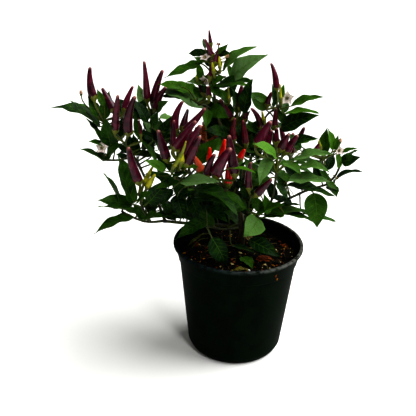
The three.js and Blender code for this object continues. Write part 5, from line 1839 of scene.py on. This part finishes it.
# Thickets of small leaves, laid by seeded draws: left, right, top and bottom on the sheet, depths, count.
THICKETS = {
    "upper_thicket": (
        (204, 250, 96, 150, 22, 44, 30), (206, 224, 84, 125, 26, 40, 8), (262, 282, 118, 158, 24, 40, 8),
        (236, 262, 118, 160, 14, 34, 12),
    ),
    "lower_thicket": (
        (166, 250, 181, 216, 8, 40, 34), (236, 262, 152, 206, -4, 20, 16), (176, 204, 164, 190, 10, 30, 9),
        (146, 176, 182, 214, -16, 10, 9),
    ),
    "left_thicket": (
        (150, 171, 113, 150, 22, 44, 12), (118, 150, 99, 120, 24, 44, 9), (137, 153, 128, 152, 16, 34, 5),
        (112, 124, 118, 140, 12, 24, 4),
    ),
}

# Fruits that set after the rest of their bunch: base, tip, width in mm, bow, ripeness.
LATE_FRUITS = (
    ((173, 168, -62), (186, 141, -68), 4.8, 0.05, Ripeness.YOUNG),
    ((181, 163, -60), (182, 152, -62), 8.0, 0.0, Ripeness.YOUNG),
    ((229, 101, 12), (228, 87, 12), 4.4, 0.0, Ripeness.YOUNG),
    ((281, 101, 14), (280, 84, 14), 4.0, 0.0, Ripeness.YOUNG),
    ((264, 122, 20), (262, 111, 20), 4.6, 0.0, Ripeness.YOUNG),
    ((197, 81, 8), (196, 75, 8), 3.0, 0.0, Ripeness.YOUNG), ((210, 79, 4), (212, 60, 6), 6.0, 0.02, Ripeness.PURPLE),
    ((215, 64, 6), (219, 48, 4), 6.0, -0.02, Ripeness.PURPLE),
    ((209, 98, -4), (208, 86, -4), 7.0, 0.0, Ripeness.PURPLE),
    ((223, 197, -22), (224, 180, -22), 7.5, 0.0, Ripeness.MAROON),
    ((141, 137, 0), (139, 119, 2), 3.4, 0.0, Ripeness.PURPLE),
    ((214, 74, -3), (212, 62, -3), 4.2, 0.0, Ripeness.YOUNG), ((220, 69, 0), (219, 56, 0), 3.8, 0.0, Ripeness.YOUNG),
    ((321, 149, -2), (319, 140, -2), 3.6, 0.0, Ripeness.YOUNG),
)

# Flowers that have withered: place, spread in mm, count of scraps, kind.
WITHERED = (
    ((242, 172, 2), 4.0, 9, Crumb.BLOOM), ((243, 183, 0), 4.5, 9, Crumb.BLOOM), ((254, 169, -4), 1.8, 5, Crumb.BLOOM),
    ((219, 45, 6), 3.2, 7, Crumb.BLOOM), ((203, 124, -8), 3.0, 7, Crumb.BLOOM), ((292, 148, 12), 2.4, 5, Crumb.PALE),
    ((286, 182, 4), 3.0, 5, Crumb.HUSK), ((256, 211, -30), 2.2, 5, Crumb.BLOOM), ((337, 178, -2), 2.2, 5, Crumb.HUSK),
    ((174, 163, 20), 2.0, 4, Crumb.CURL), ((104, 137, 0), 1.6, 4, Crumb.CURL), ((226, 56, 8), 2.6, 5, Crumb.PALE),
)

# Leaves that have dried and rolled up: base, tip, breadth shown, arch, kind.
ROLLED = (
    ((206, 142, 6), (208, 119, 0), 7, 0.12, Crumb.CURL), ((204, 140, 2), (202, 126, -4), 5, -0.1, Crumb.CURL),
    ((257, 247, 10), (243, 236, 24), 6, 0.15, Crumb.HUSK),
)


@dataclass
class InnerLeaves:
    """A group of leaves of the crowded middle."""

    name: str

    def build(self, wood: Row) -> bpy.types.Object:
        """Builds the leaves as one piece.

        Args:
            wood: The spots on the plant's wood where stalks may start.

        Returns:
            The piece.
        """
        draft, draw = Draft(), Dice(self.name)
        for base, tip, shown, youth in INNER.get(self.name) or self.thicket(draw):
            base, tip = spot(base), spot(tip)
            foot = min(wood, key=lambda place: (place - base).length)
            Leaf(foot, base, tip, shown, youth=youth).grow(draft, draw)
        return draft.piece(self.name + "_leaves", "leaf_green", LEAFY, crease=70)

    def thicket(self, draw: Dice) -> list[tuple[Place, Place, float, float]]:
        """Draws the rows of the group's thickets.

        Args:
            draw: Where the leaves' places come from.

        Returns:
            Each leaf as base, tip, breadth shown and youth.
        """
        rows = []
        for left, right, top, bottom, near, far, count in THICKETS[self.name]:
            for _ in range(count):
                base = (draw.draw(left, right), draw.draw((top + bottom) / 2, bottom), draw.draw(near, far))
                long, lean = draw.draw(13, 21), draw.draw(-1.3, 1.3)
                across = min(right, max(left, base[0] + long * math.sin(lean)))
                down = max(top, base[1] - long * math.cos(lean))
                rows.append((base, (across, down, base[2] + draw.draw(-10, 10)), long * draw.draw(0.3, 0.5), 0.02))
        return rows


@dataclass
class LateFruits:
    """The fruits that set after the rest of their bunch, most of them small and green."""

    def build(self, wood: Row) -> bpy.types.Object:
        """Builds the fruits as one piece.

        Args:
            wood: The spots on the plant's wood where stalks may start.

        Returns:
            The piece.
        """
        draft, draw = Draft(), Dice("late_fruits")
        kinds = list(dict.fromkeys(row[4] for row in LATE_FRUITS))
        for base, tip, width, bow, kind in LATE_FRUITS:
            base, tip = spot(base), spot(tip)
            foot = min(wood, key=lambda place: (place - base).length)
            Fruit(foot, base, tip, width, bow).grow(draft, kinds.index(kind), len(kinds), draw)
        finishes = [PepperSkin(kind) for kind in kinds] + [GreenStalk()]
        return draft.piece("late_fruits", "young_fruit_skin", finishes, crease=60)


@dataclass
class Withered:
    """Flowers that have dried where they stood, and leaves that have rolled up."""

    thread: float = 0.45  # mm, radius of a dried stalk

    def build(self, wood: Row) -> bpy.types.Object:
        """Builds them as one piece.

        Args:
            wood: The spots on the plant's wood where stalks may start.

        Returns:
            The piece.
        """
        draft, draw = Draft(), Dice("withered")
        kinds = list(dict.fromkeys(row[3] for row in WITHERED))
        for place, spread, count, kind in WITHERED:
            middle = spot(place)
            foot = min(wood, key=lambda other: (other - middle).length)
            draft.tube(stalk_run(foot, middle, UP, UP), lambda share: self.thread, 6, finish=kinds.index(Crumb.HUSK))
            for _ in range(count):
                away = Vector((draw.draw(-1, 1), draw.draw(-1, 1), draw.draw(-1, 1))) * (spread * 0.55)
                half = Vector((spread * draw.draw(0.25, 0.5), spread * draw.draw(0.15, 0.35), spread * 0.12))
                turn = away.to_track_quat("X", "Z").to_matrix() @ Matrix.Rotation(draw.draw(0, math.tau), 3, "X")
                facts = {"finish": kinds.index(kind), "tint": (draw.draw(0, 1), 0, 0)}
                draft.lump(middle + away, half, turn, draw, 0.7, **facts)
        for base, tip, shown, arch, kind in ROLLED:
            rolled = kinds.index(kind)
            base, tip = spot(base), spot(tip)
            foot = min(wood, key=lambda other: (other - base).length)
            Leaf(foot, base, tip, shown, arch, finishes=(rolled, rolled, rolled)).grow(draft, draw)
        return draft.piece("withered_flowers", "dry_leaf", [LooseBits(kind) for kind in kinds], crease=50)


# Bits that lie in plain sight on the mix: place on the sheet, half length in mm, kind.
STUCK = ((276, 276, 2.4, Crumb.BLOOM), (277, 279, 1.6, Crumb.OCHRE))  # scraps that stick to the pot's wall
PLACED = (
    (240, 253, 3.2, Crumb.PALE), (242, 258, 2.0, Crumb.OCHRE), (232, 264, 2.8, Crumb.PALE),
    (184, 251, 2.6, Crumb.OCHRE), (265, 265, 1.7, Crumb.PALE), (273, 265, 1.9, Crumb.OCHRE),
    (249, 271, 2.0, Crumb.STONE), (232, 258, 2.2, Crumb.BLOOM), (234, 262, 2.2, Crumb.BLOOM),
    (237, 266, 1.9, Crumb.BLOOM), (281, 256, 1.9, Crumb.BARK), (284, 249, 1.7, Crumb.OCHRE),
    (276, 250, 1.5, Crumb.PALE), (262, 270, 1.6, Crumb.BLOOM), (255, 268, 1.8, Crumb.BARK),
    (192, 256, 1.6, Crumb.BARK), (200, 262, 1.7, Crumb.OCHRE), (216, 268, 1.6, Crumb.BARK),
)


# ---------------------------------------------------------------- pot and what lies in it


@dataclass
class Pot:
    """The moulded pot. All sizes are in mm."""

    height: float = 144
    rim: float = 80
    lip_height: float = 4.4
    lip_under: float = 77
    step: float = 22
    band_foot: float = 73.4
    wall_top: float = 72
    wall_foot: float = 58.4
    corner: float = 9
    base: float = 52
    wall: float = 1.3
    hole: float = 4.2
    hole_circle: float = 43
    holes: int = 8
    sides: int = 144
    stride: float = 0.2  # the step in which a line of sight is followed to the wall

    def profile(self) -> list[tuple[float, float]]:
        """Works out the wall's section, up its outside and down its inside.

        Returns:
            Each point as radius and height.
        """
        top, shelf = self.height, self.height - self.step
        foot = self.base - self.wall_foot
        outer = [
            (0, 0),
            (self.base, 0),
            (self.wall_foot + foot * 0.35, self.corner * 0.3),
            (self.wall_foot + (self.wall_top - self.wall_foot) * (self.corner / shelf), self.corner),
            (self.wall_top, shelf),
            (self.band_foot, shelf + 0.8),
            (self.lip_under, top - self.lip_height),
            (self.rim, top - self.lip_height + 0.6),
            (self.rim, top - 1),
            (self.rim - 0.9, top),
        ]
        inner = [
            (self.lip_under - self.wall + 0.5, top),
            (self.lip_under - self.wall, top - 2),
            (self.band_foot - self.wall, shelf + 1.8),
            (self.wall_top - self.wall, shelf + 0.6),
            (self.wall_foot - self.wall + 0.8, self.corner),
            (self.base - 1, self.wall),
            (0, self.wall),
        ]
        return outer + inner

    def met_by(self, across: float, down: float) -> Vector:
        """Finds the point of a place on the sheet that lies on the front of the outer wall.

        Args:
            across: The place across the sheet.
            down: The place down it.

        Returns:
            The point.
        """
        shelf = self.height - self.step
        for k in range(round(self.rim / self.stride)):
            point = SHEET.at((across, down, -self.rim + self.stride * k))
            if point.z > shelf:
                foot, top, rise, tall = self.band_foot, self.lip_under, point.z - shelf, self.step - self.lip_height
            else:
                foot, top, rise, tall = self.wall_foot, self.wall_top, point.z - self.corner, shelf - self.corner
            radius = foot + (top - foot) * rise / tall
            if point.xy.length <= radius:
                break
        return point

    def rounded(self, reach: float = 0.7) -> list[Vector]:
        """Rounds each corner of the section.

        Args:
            reach: How far in mm from a corner its rounding starts.

        Returns:
            The points of the section.
        """
        points = [Vector(point) for point in self.profile()]
        made = [points[0]]
        for before, corner, after in zip(points, points[1:], points[2:]):
            into, out = before - corner, after - corner
            room = 4.5 if corner.y == self.corner * 0.3 else reach
            one = corner + into.normalized() * min(room, into.length * 0.45)
            two = corner + out.normalized() * min(room, out.length * 0.45)
            made += [one.lerp(corner, t).lerp(corner.lerp(two, t), t) for t in (0.0, 0.33, 0.67, 1.0)]
        return made + [points[-1]]

    def build(self) -> bpy.types.Object:
        """Builds the pot as one piece, with its drain holes cut through its floor.

        Returns:
            The piece.
        """
        draft = Draft()
        rows = []
        for radius, height in self.rounded():
            angles = (math.tau * j / self.sides for j in range(self.sides))
            radius = max(0.02, radius)
            rows.append([Vector((radius * math.cos(a), radius * math.sin(a), height)) for a in angles])
        draft.skin(rows)
        finish = MouldedPot(self.height, self.lip_height)
        made = draft.piece("moulded_pot", "pot_plastic", [finish], ["pot"], 60)
        drills = bmesh.new()
        for k in range(self.holes):
            angle = math.tau * (k + 0.5) / self.holes
            place = Vector((self.hole_circle * math.cos(angle), self.hole_circle * math.sin(angle), 0)) * MM
            bmesh.ops.create_cone(
                drills,
                cap_ends=True,
                segments=32,
                radius1=self.hole * MM,
                radius2=self.hole * MM,
                depth=4 * self.wall * MM,
                matrix=Matrix.Translation(place),
            )
        mesh = bpy.data.meshes.new("drills")
        drills.to_mesh(mesh)
        drills.free()
        cutter = bpy.data.objects.new("drills", mesh)
        bpy.context.scene.collection.objects.link(cutter)
        cut = made.modifiers.new("drain_holes", "BOOLEAN")
        cut.operation = "DIFFERENCE"
        cut.solver = "EXACT"
        cut.object = cutter
        bpy.context.view_layer.update()
        shown = made.evaluated_get(bpy.context.evaluated_depsgraph_get())
        drilled = bpy.data.meshes.new_from_object(shown)
        made.modifiers.clear()
        made.data = drilled
        bpy.data.objects.remove(cutter)
        return made


@dataclass
class PottingMix:
    """The mix that fills the pot, and the loose bits on it. All sizes are in mm."""

    pot: Pot
    top: float = 128
    relief: float = 1.6
    gap: float = 0.35
    rings: int = 54
    sides: int = 150
    strewn: float = 70  # radius within which bits lie
    clear: float = 70.5  # radius inside the wall that no bit reaches past
    combed: float = 62  # radius within which fibres lie
    proud: float = 1.1  # how far the bits in plain sight stand out of the mix
    settling: int = 3  # how often such a bit's place is worked out again from the height found there

    def level(self, x: float, y: float) -> float:
        """Returns the height of the swells that watering leaves, with a little mound at the stem."""
        swells = math.sin(x / 9.5 + 1.3) * math.cos(y / 11 - 0.4) + 0.6 * math.sin((x + 1.7 * y) / 6.1)
        return self.top + self.relief * swells + 3 * math.exp(-(x * x + y * y) / 300)

    def height(self, x: float, y: float) -> float:
        """Returns the height of the surface with its lumps and crumbs."""
        lumps = noise.noise(Vector((x / 6.5, y / 6.5, 3))) * 1.3 + noise.noise(Vector((x / 2.6, y / 2.6, 9))) * 0.8
        return self.level(x, y) + lumps - 0.3

    def build(self) -> bpy.types.Object:
        """Builds the mix as one piece.

        Returns:
            The piece.
        """
        pot = self.pot
        slope = (pot.wall_top - pot.wall_foot) / (pot.height - pot.step - pot.corner)
        shelf = pot.height - pot.step
        edge = pot.band_foot - pot.wall - 0.6
        floor = pot.wall + self.gap
        side = [
            (0.1, floor),
            (pot.base - 2.4, floor),
            (pot.wall_foot - 2 * pot.wall, pot.corner + 1),
            (pot.wall_foot - 2 * pot.wall + slope * (shelf - pot.corner) + 0.2, shelf),
            (edge, shelf + 3),
        ]
        rows = []
        angles = [math.tau * j / self.sides for j in range(self.sides)]
        for radius, height in side:
            rows.append([Vector((radius * math.cos(a), radius * math.sin(a), height)) for a in angles])
        for k in range(self.rings):
            radius = max(0.3, (edge + 0.4) * (1 - k / (self.rings - 1)))
            points = [(radius * math.cos(a), radius * math.sin(a)) for a in angles]
            rows.append([Vector((x, y, self.height(x, y))) for x, y in points])
        draft = Draft()
        draft.skin(rows)
        return draft.piece("peat_and_bark_mix", "potting_mix", [Peat()], ["potting_mix"], 80)

    def scatter(self, kind: Crumb, count: int, low: float, high: float) -> bpy.types.Object:
        """Strews loose bits of one kind, strewn over the mix, as one piece.

        Args:
            kind: What they are.
            count: How many there are.
            low: The half length in mm of the smallest.
            high: The half length of the largest.

        Returns:
            The piece.
        """
        draft, draw = Draft(), Dice("strewn_" + kind.name)
        for _ in range(count):
            radius, angle = self.strewn * math.sqrt(draw.draw(0.002, 1)), draw.draw(0, math.tau)
            self.crumb(draft, radius * math.cos(angle), radius * math.sin(angle), draw.draw(low, high), draw, kind)
        name = "strewn_" + kind.name.lower()
        slot = "potting_mix" if kind in (Crumb.PEAT, Crumb.HUSK) else "bark"
        return draft.piece(name, slot, [LooseBits(kind)], crease=40)

    def placed(self) -> bpy.types.Object:
        """Lays the bits that lie in plain sight, as one piece.

        Returns:
            The piece.
        """
        draft, draw = Draft(), Dice("placed")
        kinds = list(dict.fromkeys(row[3] for row in PLACED))
        for across, down, size, kind in PLACED:
            place = Vector((0, 0, 0))
            for _ in range(self.settling):
                place = SHEET.on_level(across, down, self.height(place.x, place.y) + 1)
            self.crumb(draft, place.x, place.y, size, draw, kind, kinds.index(kind), self.proud)
        for across, down, size, kind in STUCK:
            place = self.pot.met_by(across, down)
            outward = Vector((*place.xy, 0)).to_track_quat("Z", "Y").to_matrix()
            facts = {"finish": kinds.index(kind), "tint": (0.2, 0, 0)}
            draft.lump(place, Vector((size * 0.6, size, 0.8)), outward, draw, 0.6, **facts)
        finishes = [LooseBits(kind) for kind in kinds]
        return draft.piece("fallen_seed_and_petals", "bark", finishes, crease=50)

    def grass(self, count: int = 5) -> bpy.types.Object:
        """Grows the few seedling blades at the left of the pot as one piece.

        Args:
            count: How many there are.

        Returns:
            The piece.
        """
        draft, draw = Draft(), Dice("grass")
        for k in range(count):
            foot = Vector((-60 + draw.draw(-3, 3), 4 + 5 * k, 0))
            way, long = draw.draw(0.5, 1.1), draw.draw(22, 40)
            row = []
            for step in range(7):
                share = step / 6
                point = foot + Vector((math.cos(way), math.sin(way), 0)) * (long * share)
                rise = 7 * math.sin(math.pi * share * 0.8)
                row.append(Vector((point.x, point.y, self.height(point.x, point.y) + 0.4 + rise)))
            draft.tube(row, lambda share: 0.75 * (1 - 0.8 * share), 6, finish=0, tint=(0.5, 0, 0))
        return draft.piece("seedling_grass", "leaf_green", [GreenStalk()])

    def crumb(
        self,
        draft: Draft,
        x: float,
        y: float,
        size: float,
        draw: Dice,
        kind: Crumb,
        finish: int = 0,
        proud: float = 0.0,
    ) -> None:
        """Adds one loose bit that lies on the mix.

        Args:
            draft: What it is added to.
            x: Its place across the pot.
            y: Its place from front to back.
            size: Its half length.
            draw: Where its shape comes from.
            kind: What it is, which sets how flat it is.
            finish: The number of its finish.
            proud: How far it stands out of the mix.
        """
        flat = 0.75 if kind is Crumb.PEAT else 0.34
        half = Vector((size, size * draw.draw(0.35, 0.85), size * flat * draw.draw(0.7, 1)))
        away = math.hypot(x, y)
        room = min(1.0, (self.clear - size) / away) if away > 0.1 else 1.0
        turn = Matrix.Rotation(draw.draw(0, math.tau), 3, "Z") @ Matrix.Rotation(draw.draw(-0.35, 0.35), 3, "X")
        x, y = x * room, y * room
        middle = Vector((x, y, self.height(x, y) + half.z * 0.35 + proud))
        draft.lump(middle, half, turn, draw, 0.5, finish=finish, tint=(draw.draw(0, 1), 0, 0))

    def fibres(self, count: int = 70) -> bpy.types.Object:
        """Lays the fine dry fibres on the mix as one piece.

        Args:
            count: How many there are.

        Returns:
            The piece.
        """
        draft, draw = Draft(), Dice("fibres")
        for _ in range(count):
            radius, angle = self.combed * math.sqrt(draw.draw(0.01, 1)), draw.draw(0, math.tau)
            x, y = radius * math.cos(angle), radius * math.sin(angle)
            way, bend, long = draw.draw(0, math.tau), draw.draw(-0.6, 0.6), draw.draw(5, 14)
            row = []
            for k in range(5):
                turn = way + bend * k / 4
                px, py = x + long * (k / 4 - 0.5) * math.cos(turn), y + long * (k / 4 - 0.5) * math.sin(turn)
                row.append(Vector((px, py, self.height(px, py) + 0.3 + draw.draw(0, 0.5))))
            thick = draw.draw(0.18, 0.42)
            draft.tube(row, lambda share: thick * (1 - 0.5 * share), 5, finish=0, tint=(draw.draw(0, 1), 0, 0))
        return draft.piece("dry_fibres", "bark", [LooseBits(Crumb.HUSK)])


@dataclass
class BarkChip:
    """A flake of bark: splintered layers that lie on the mix. Sizes are in mm and degrees."""

    name: str
    x: float
    y: float
    length: float
    breadth: float
    turn: float
    bedded: float = 0.9
    layers: int = 4
    section: tuple = ((0.05, -0.4), (0.9, -0.4), (1.0, 0.0), (0.86, 0.42), (0.45, 0.6), (0.05, 0.5))  # reach, rise

    def build(self, mix: PottingMix) -> bpy.types.Object:
        """Builds the flake as one piece.

        Args:
            mix: What it lies on.

        Returns:
            The piece.
        """
        draft, draw = Draft(), Dice(self.name)
        floor = mix.level(self.x, self.y) - self.bedded
        for layer in range(self.layers):
            turn = Matrix.Rotation(math.radians(self.turn + draw.draw(-16, 16)), 3, "Z")
            long = self.length / 2 * (1 - 0.14 * layer)
            wide = self.breadth / 2 * (1 - 0.16 * layer)
            shift = Vector((draw.draw(-0.12, 0.12) * self.length, draw.draw(-0.12, 0.12) * self.breadth, 0))
            seed = draw.draw(0, 50)
            rows = []
            for ring, (reach, rise) in enumerate(self.section):
                row = []
                for j in range(30):
                    angle = math.tau * j / 30
                    ragged = 1 + 0.28 * noise.noise(Vector((2.2 * math.cos(angle), 2.2 * math.sin(angle), seed)))
                    point = Vector((long * math.cos(angle), wide * math.sin(angle), 0)) * (reach * ragged)
                    grain = 0.35 * noise.noise(Vector((point.x / 6, point.y / 1.1, seed + ring)))
                    point.z = rise + grain + 0.06 * abs(point.x) * math.sin(seed)
                    row.append(turn @ (point + shift) + Vector((self.x, self.y, floor + 0.9 + 0.75 * layer)))
                rows.append(row)
            draft.skin(rows, 0, (draw.draw(0, 1), 0, 0))
        return draft.piece(self.name + "_flake", "bark", [LooseBits(Crumb.BARK)], [self.name], 40)


@dataclass
class FallenLeaf:
    """A leaf that has dropped and lies on the mix. Spots are in mm from the pot's axis."""

    name: str
    foot: tuple[float, float]
    tip: tuple[float, float]
    breadth: float
    dry: bool

    def build(self, mix: PottingMix) -> bpy.types.Object:
        """Builds the leaf as one piece.

        Args:
            mix: What it lies on.

        Returns:
            The piece.
        """
        draft, draw = Draft(), Dice(self.name)
        start, end = (Vector((x, y, mix.level(x, y) + 1.6)) for x, y in (self.foot, self.tip))
        base = start.lerp(end, 0.16)
        leaf = Leaf(start, base, end, arch=0.05, breadth=self.breadth, youth=0.3)
        if self.dry:
            leaf.finishes = (0, 0, 0)
            finishes = [DryTissue("leaf", "#2e2a0a", "#6a6216")]
        else:
            finishes = LEAFY
        leaf.grow(draft, draw)
        slot = "dry_leaf" if self.dry else "leaf_green"
        return draft.piece(self.name + "_blade", slot, finishes, [self.name], 70)


CHIPS = (
    BarkChip("front_bark_chip", 33, -14, 20, 14, 20),
    BarkChip("left_bark_chip", -53, 11, 12, 8, 110),
    BarkChip("right_bark_chip", 58, 24, 12, 8, 65),
)
FALLEN = (
    FallenLeaf("fallen_green_leaf", (2, -14), (19, -40), 16, False),
    FallenLeaf("fallen_dry_leaf", (-7, -48), (14, -47), 9, True),
)


# ---------------------------------------------------------------- studio


@dataclass
class Studio:
    """The camera, the lights, the pale floor and the lit screen round it. Lengths are in metres."""

    film: float = 36  # mm, the film's side
    clip: tuple[float, float] = (0.01, 50)
    room: float = 6  # from the plant to the screen
    tall: float = 3  # height of the screen
    sides: int = 96
    sunk: float = 0.0002  # how far the floor lies under the pot
    skirt: float = 0.01  # how far the screen reaches below the floor
    sun_way: Place = (-0.78, -0.2, -1)
    sun_spread: float = 62  # degrees, as through a large diffuser
    sun_strength: float = 3.95  # watts a square metre
    lamp_place: Place = (0.5, -1.1, 1.5)
    lamp_aim: Place = (0, 0, 0.25)
    lamp_side: float = 0.3
    lamp_power: float = 8  # watts
    sky: float = 0.2
    glow: float = 1.2

    def camera(self) -> None:
        """Makes the camera, which sees what the sheet shows."""
        right, up, ahead = SHEET.axes()
        data = bpy.data.cameras.new("camera")
        data.sensor_width = self.film
        data.lens = SHEET.units / SHEET.side * self.film
        data.clip_start, data.clip_end = self.clip
        made = bpy.data.objects.new("camera", data)
        turn = Matrix((right, up, -ahead)).transposed().to_4x4()
        made.matrix_world = Matrix.Translation(Vector(SHEET.eye) * MM) @ turn
        bpy.context.scene.collection.objects.link(made)
        bpy.context.scene.camera = made

    def light(self, name: str, kind: str, way: Vector, strength: float) -> bpy.types.Object:
        """Adds a light.

        Args:
            name: Its name.
            kind: Its kind.
            way: The way that it shines.
            strength: How strong it is.

        Returns:
            The light.
        """
        data = bpy.data.lights.new(name, kind)
        data.energy = strength
        made = bpy.data.objects.new(name, data)
        made.rotation_euler = way.to_track_quat("-Z", "Y").to_euler()
        bpy.context.scene.collection.objects.link(made)
        return made

    def stand(self, name: str, work: bmesh.types.BMesh, finish: bpy.types.Material, height: float) -> bpy.types.Object:
        """Adds a part of the studio that stands round the plant.

        Args:
            name: Its name.
            work: Its mesh.
            finish: Its material.
            height: The height at which its middle stands.

        Returns:
            The part.
        """
        mesh = bpy.data.meshes.new(name)
        work.to_mesh(mesh)
        work.free()
        mesh.materials.append(finish)
        made = bpy.data.objects.new(name, mesh)
        made.location.z = height
        bpy.context.scene.collection.objects.link(made)
        return made

    def build(self) -> None:
        """Makes the lights, the sky, the floor and the screen."""
        scene = bpy.context.scene
        scene.view_settings.view_transform = "Standard"
        scene.view_settings.look = "High Contrast"
        sun = self.light("key_light", "SUN", Vector(self.sun_way), self.sun_strength)
        sun.data.angle = math.radians(self.sun_spread)
        lamp = self.light("front_light", "AREA", Vector(self.lamp_aim) - Vector(self.lamp_place), self.lamp_power)
        lamp.data.size = self.lamp_side
        lamp.location = self.lamp_place
        scene.world = bpy.data.worlds.new("pale_sky")
        scene.world.use_nodes = True
        sky = scene.world.node_tree.nodes["Background"].inputs
        sky["Color"].default_value = linear("#f8f7f4")
        sky["Strength"].default_value = self.sky
        white = linear("#f2f2f0")
        work = bmesh.new()
        bmesh.ops.create_circle(work, cap_ends=True, radius=self.room, segments=self.sides)
        self.stand("pale_floor", work, Surface("matt_white_board").close(Base_Color=white, Roughness=0.9), -self.sunk)
        work = bmesh.new()
        bmesh.ops.create_cone(work, segments=self.sides, radius1=self.room, radius2=self.room, depth=self.tall)
        lit = Surface("lit_white_screen").close(Base_Color=white, Emission_Color=white, Emission_Strength=self.glow)
        screen = self.stand("pale_wall", work, lit, self.tall / 2 - self.skirt)
        screen.visible_shadow = screen.visible_diffuse = screen.visible_glossy = False


# ---------------------------------------------------------------- the plant


@dataclass
class ChilliPlant:
    """The whole plant in its pot."""

    pot: Pot = field(default_factory=Pot)

    def build(self) -> list[bpy.types.Object]:
        """Builds every piece in order and reports it.

        Returns:
            The pieces.
        """
        made = []

        def keep(piece: bpy.types.Object) -> None:
            """Keeps a piece and reports it."""
            made.append(piece)
            LOG.info("%s: %d faces", piece.name, len(piece.data.polygons))

        mix = PottingMix(self.pot)
        keep(self.pot.build())
        keep(mix.build())
        for kind, count, low, high in (
            (Crumb.PEAT, 520, 0.7, 2.6),
            (Crumb.BARK, 46, 0.8, 2.8),
            (Crumb.OCHRE, 46, 0.7, 2.2),
            (Crumb.PALE, 40, 0.6, 1.9),
        ):
            keep(mix.scatter(kind, count, low, high))
        keep(mix.fibres())
        keep(mix.placed())
        keep(mix.grass())
        for lying in (*CHIPS, *FALLEN):
            keep(lying.build(mix))
        keep(Stem().build())
        behind = {row.name: back_twig(row) for row in BACK_TWIGS}
        bunches = [*BUNCHES, *(back_bunch(row, behind[row.name]) for row in BACK_TWIGS if row.fruits)]
        twigs = {}
        for row in (*TWIGS, *behind.values()):
            hubs = [spot(bunch.hub) for bunch in bunches if bunch.twig == row.name]
            twigs[row.name] = Twig(row, hubs)
            keep(twigs[row.name].build())
        for row in bunches:
            keep(Bunch(row).build())
        for row in FLOWERS:
            keep(Flower(row, twigs[row.twig].nearest(spot(row.centre))).build())
        for row in BUDS:
            keep(Bud(row, twigs[row.twig].nearest(spot(row.base))).build())
        wood = [place for twig in twigs.values() for place in twig.spots]
        for run, _, _ in LIMBS:
            wood += SmoothRun([spot(place) for place in run]).spaced(5)[2:]
        for name in (*INNER, *THICKETS):
            keep(InnerLeaves(name).build(wood))
        keep(LateFruits().build(wood))
        keep(Withered().build(wood))
        return made


def main() -> None:
    """Dresses the plant and its studio."""
    logging.basicConfig(level=logging.INFO, format="%(message)s")
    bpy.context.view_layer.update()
    studio = Studio()
    studio.camera()
    ChilliPlant().build()
    studio.build()


if __name__ == "__main__":
    main()
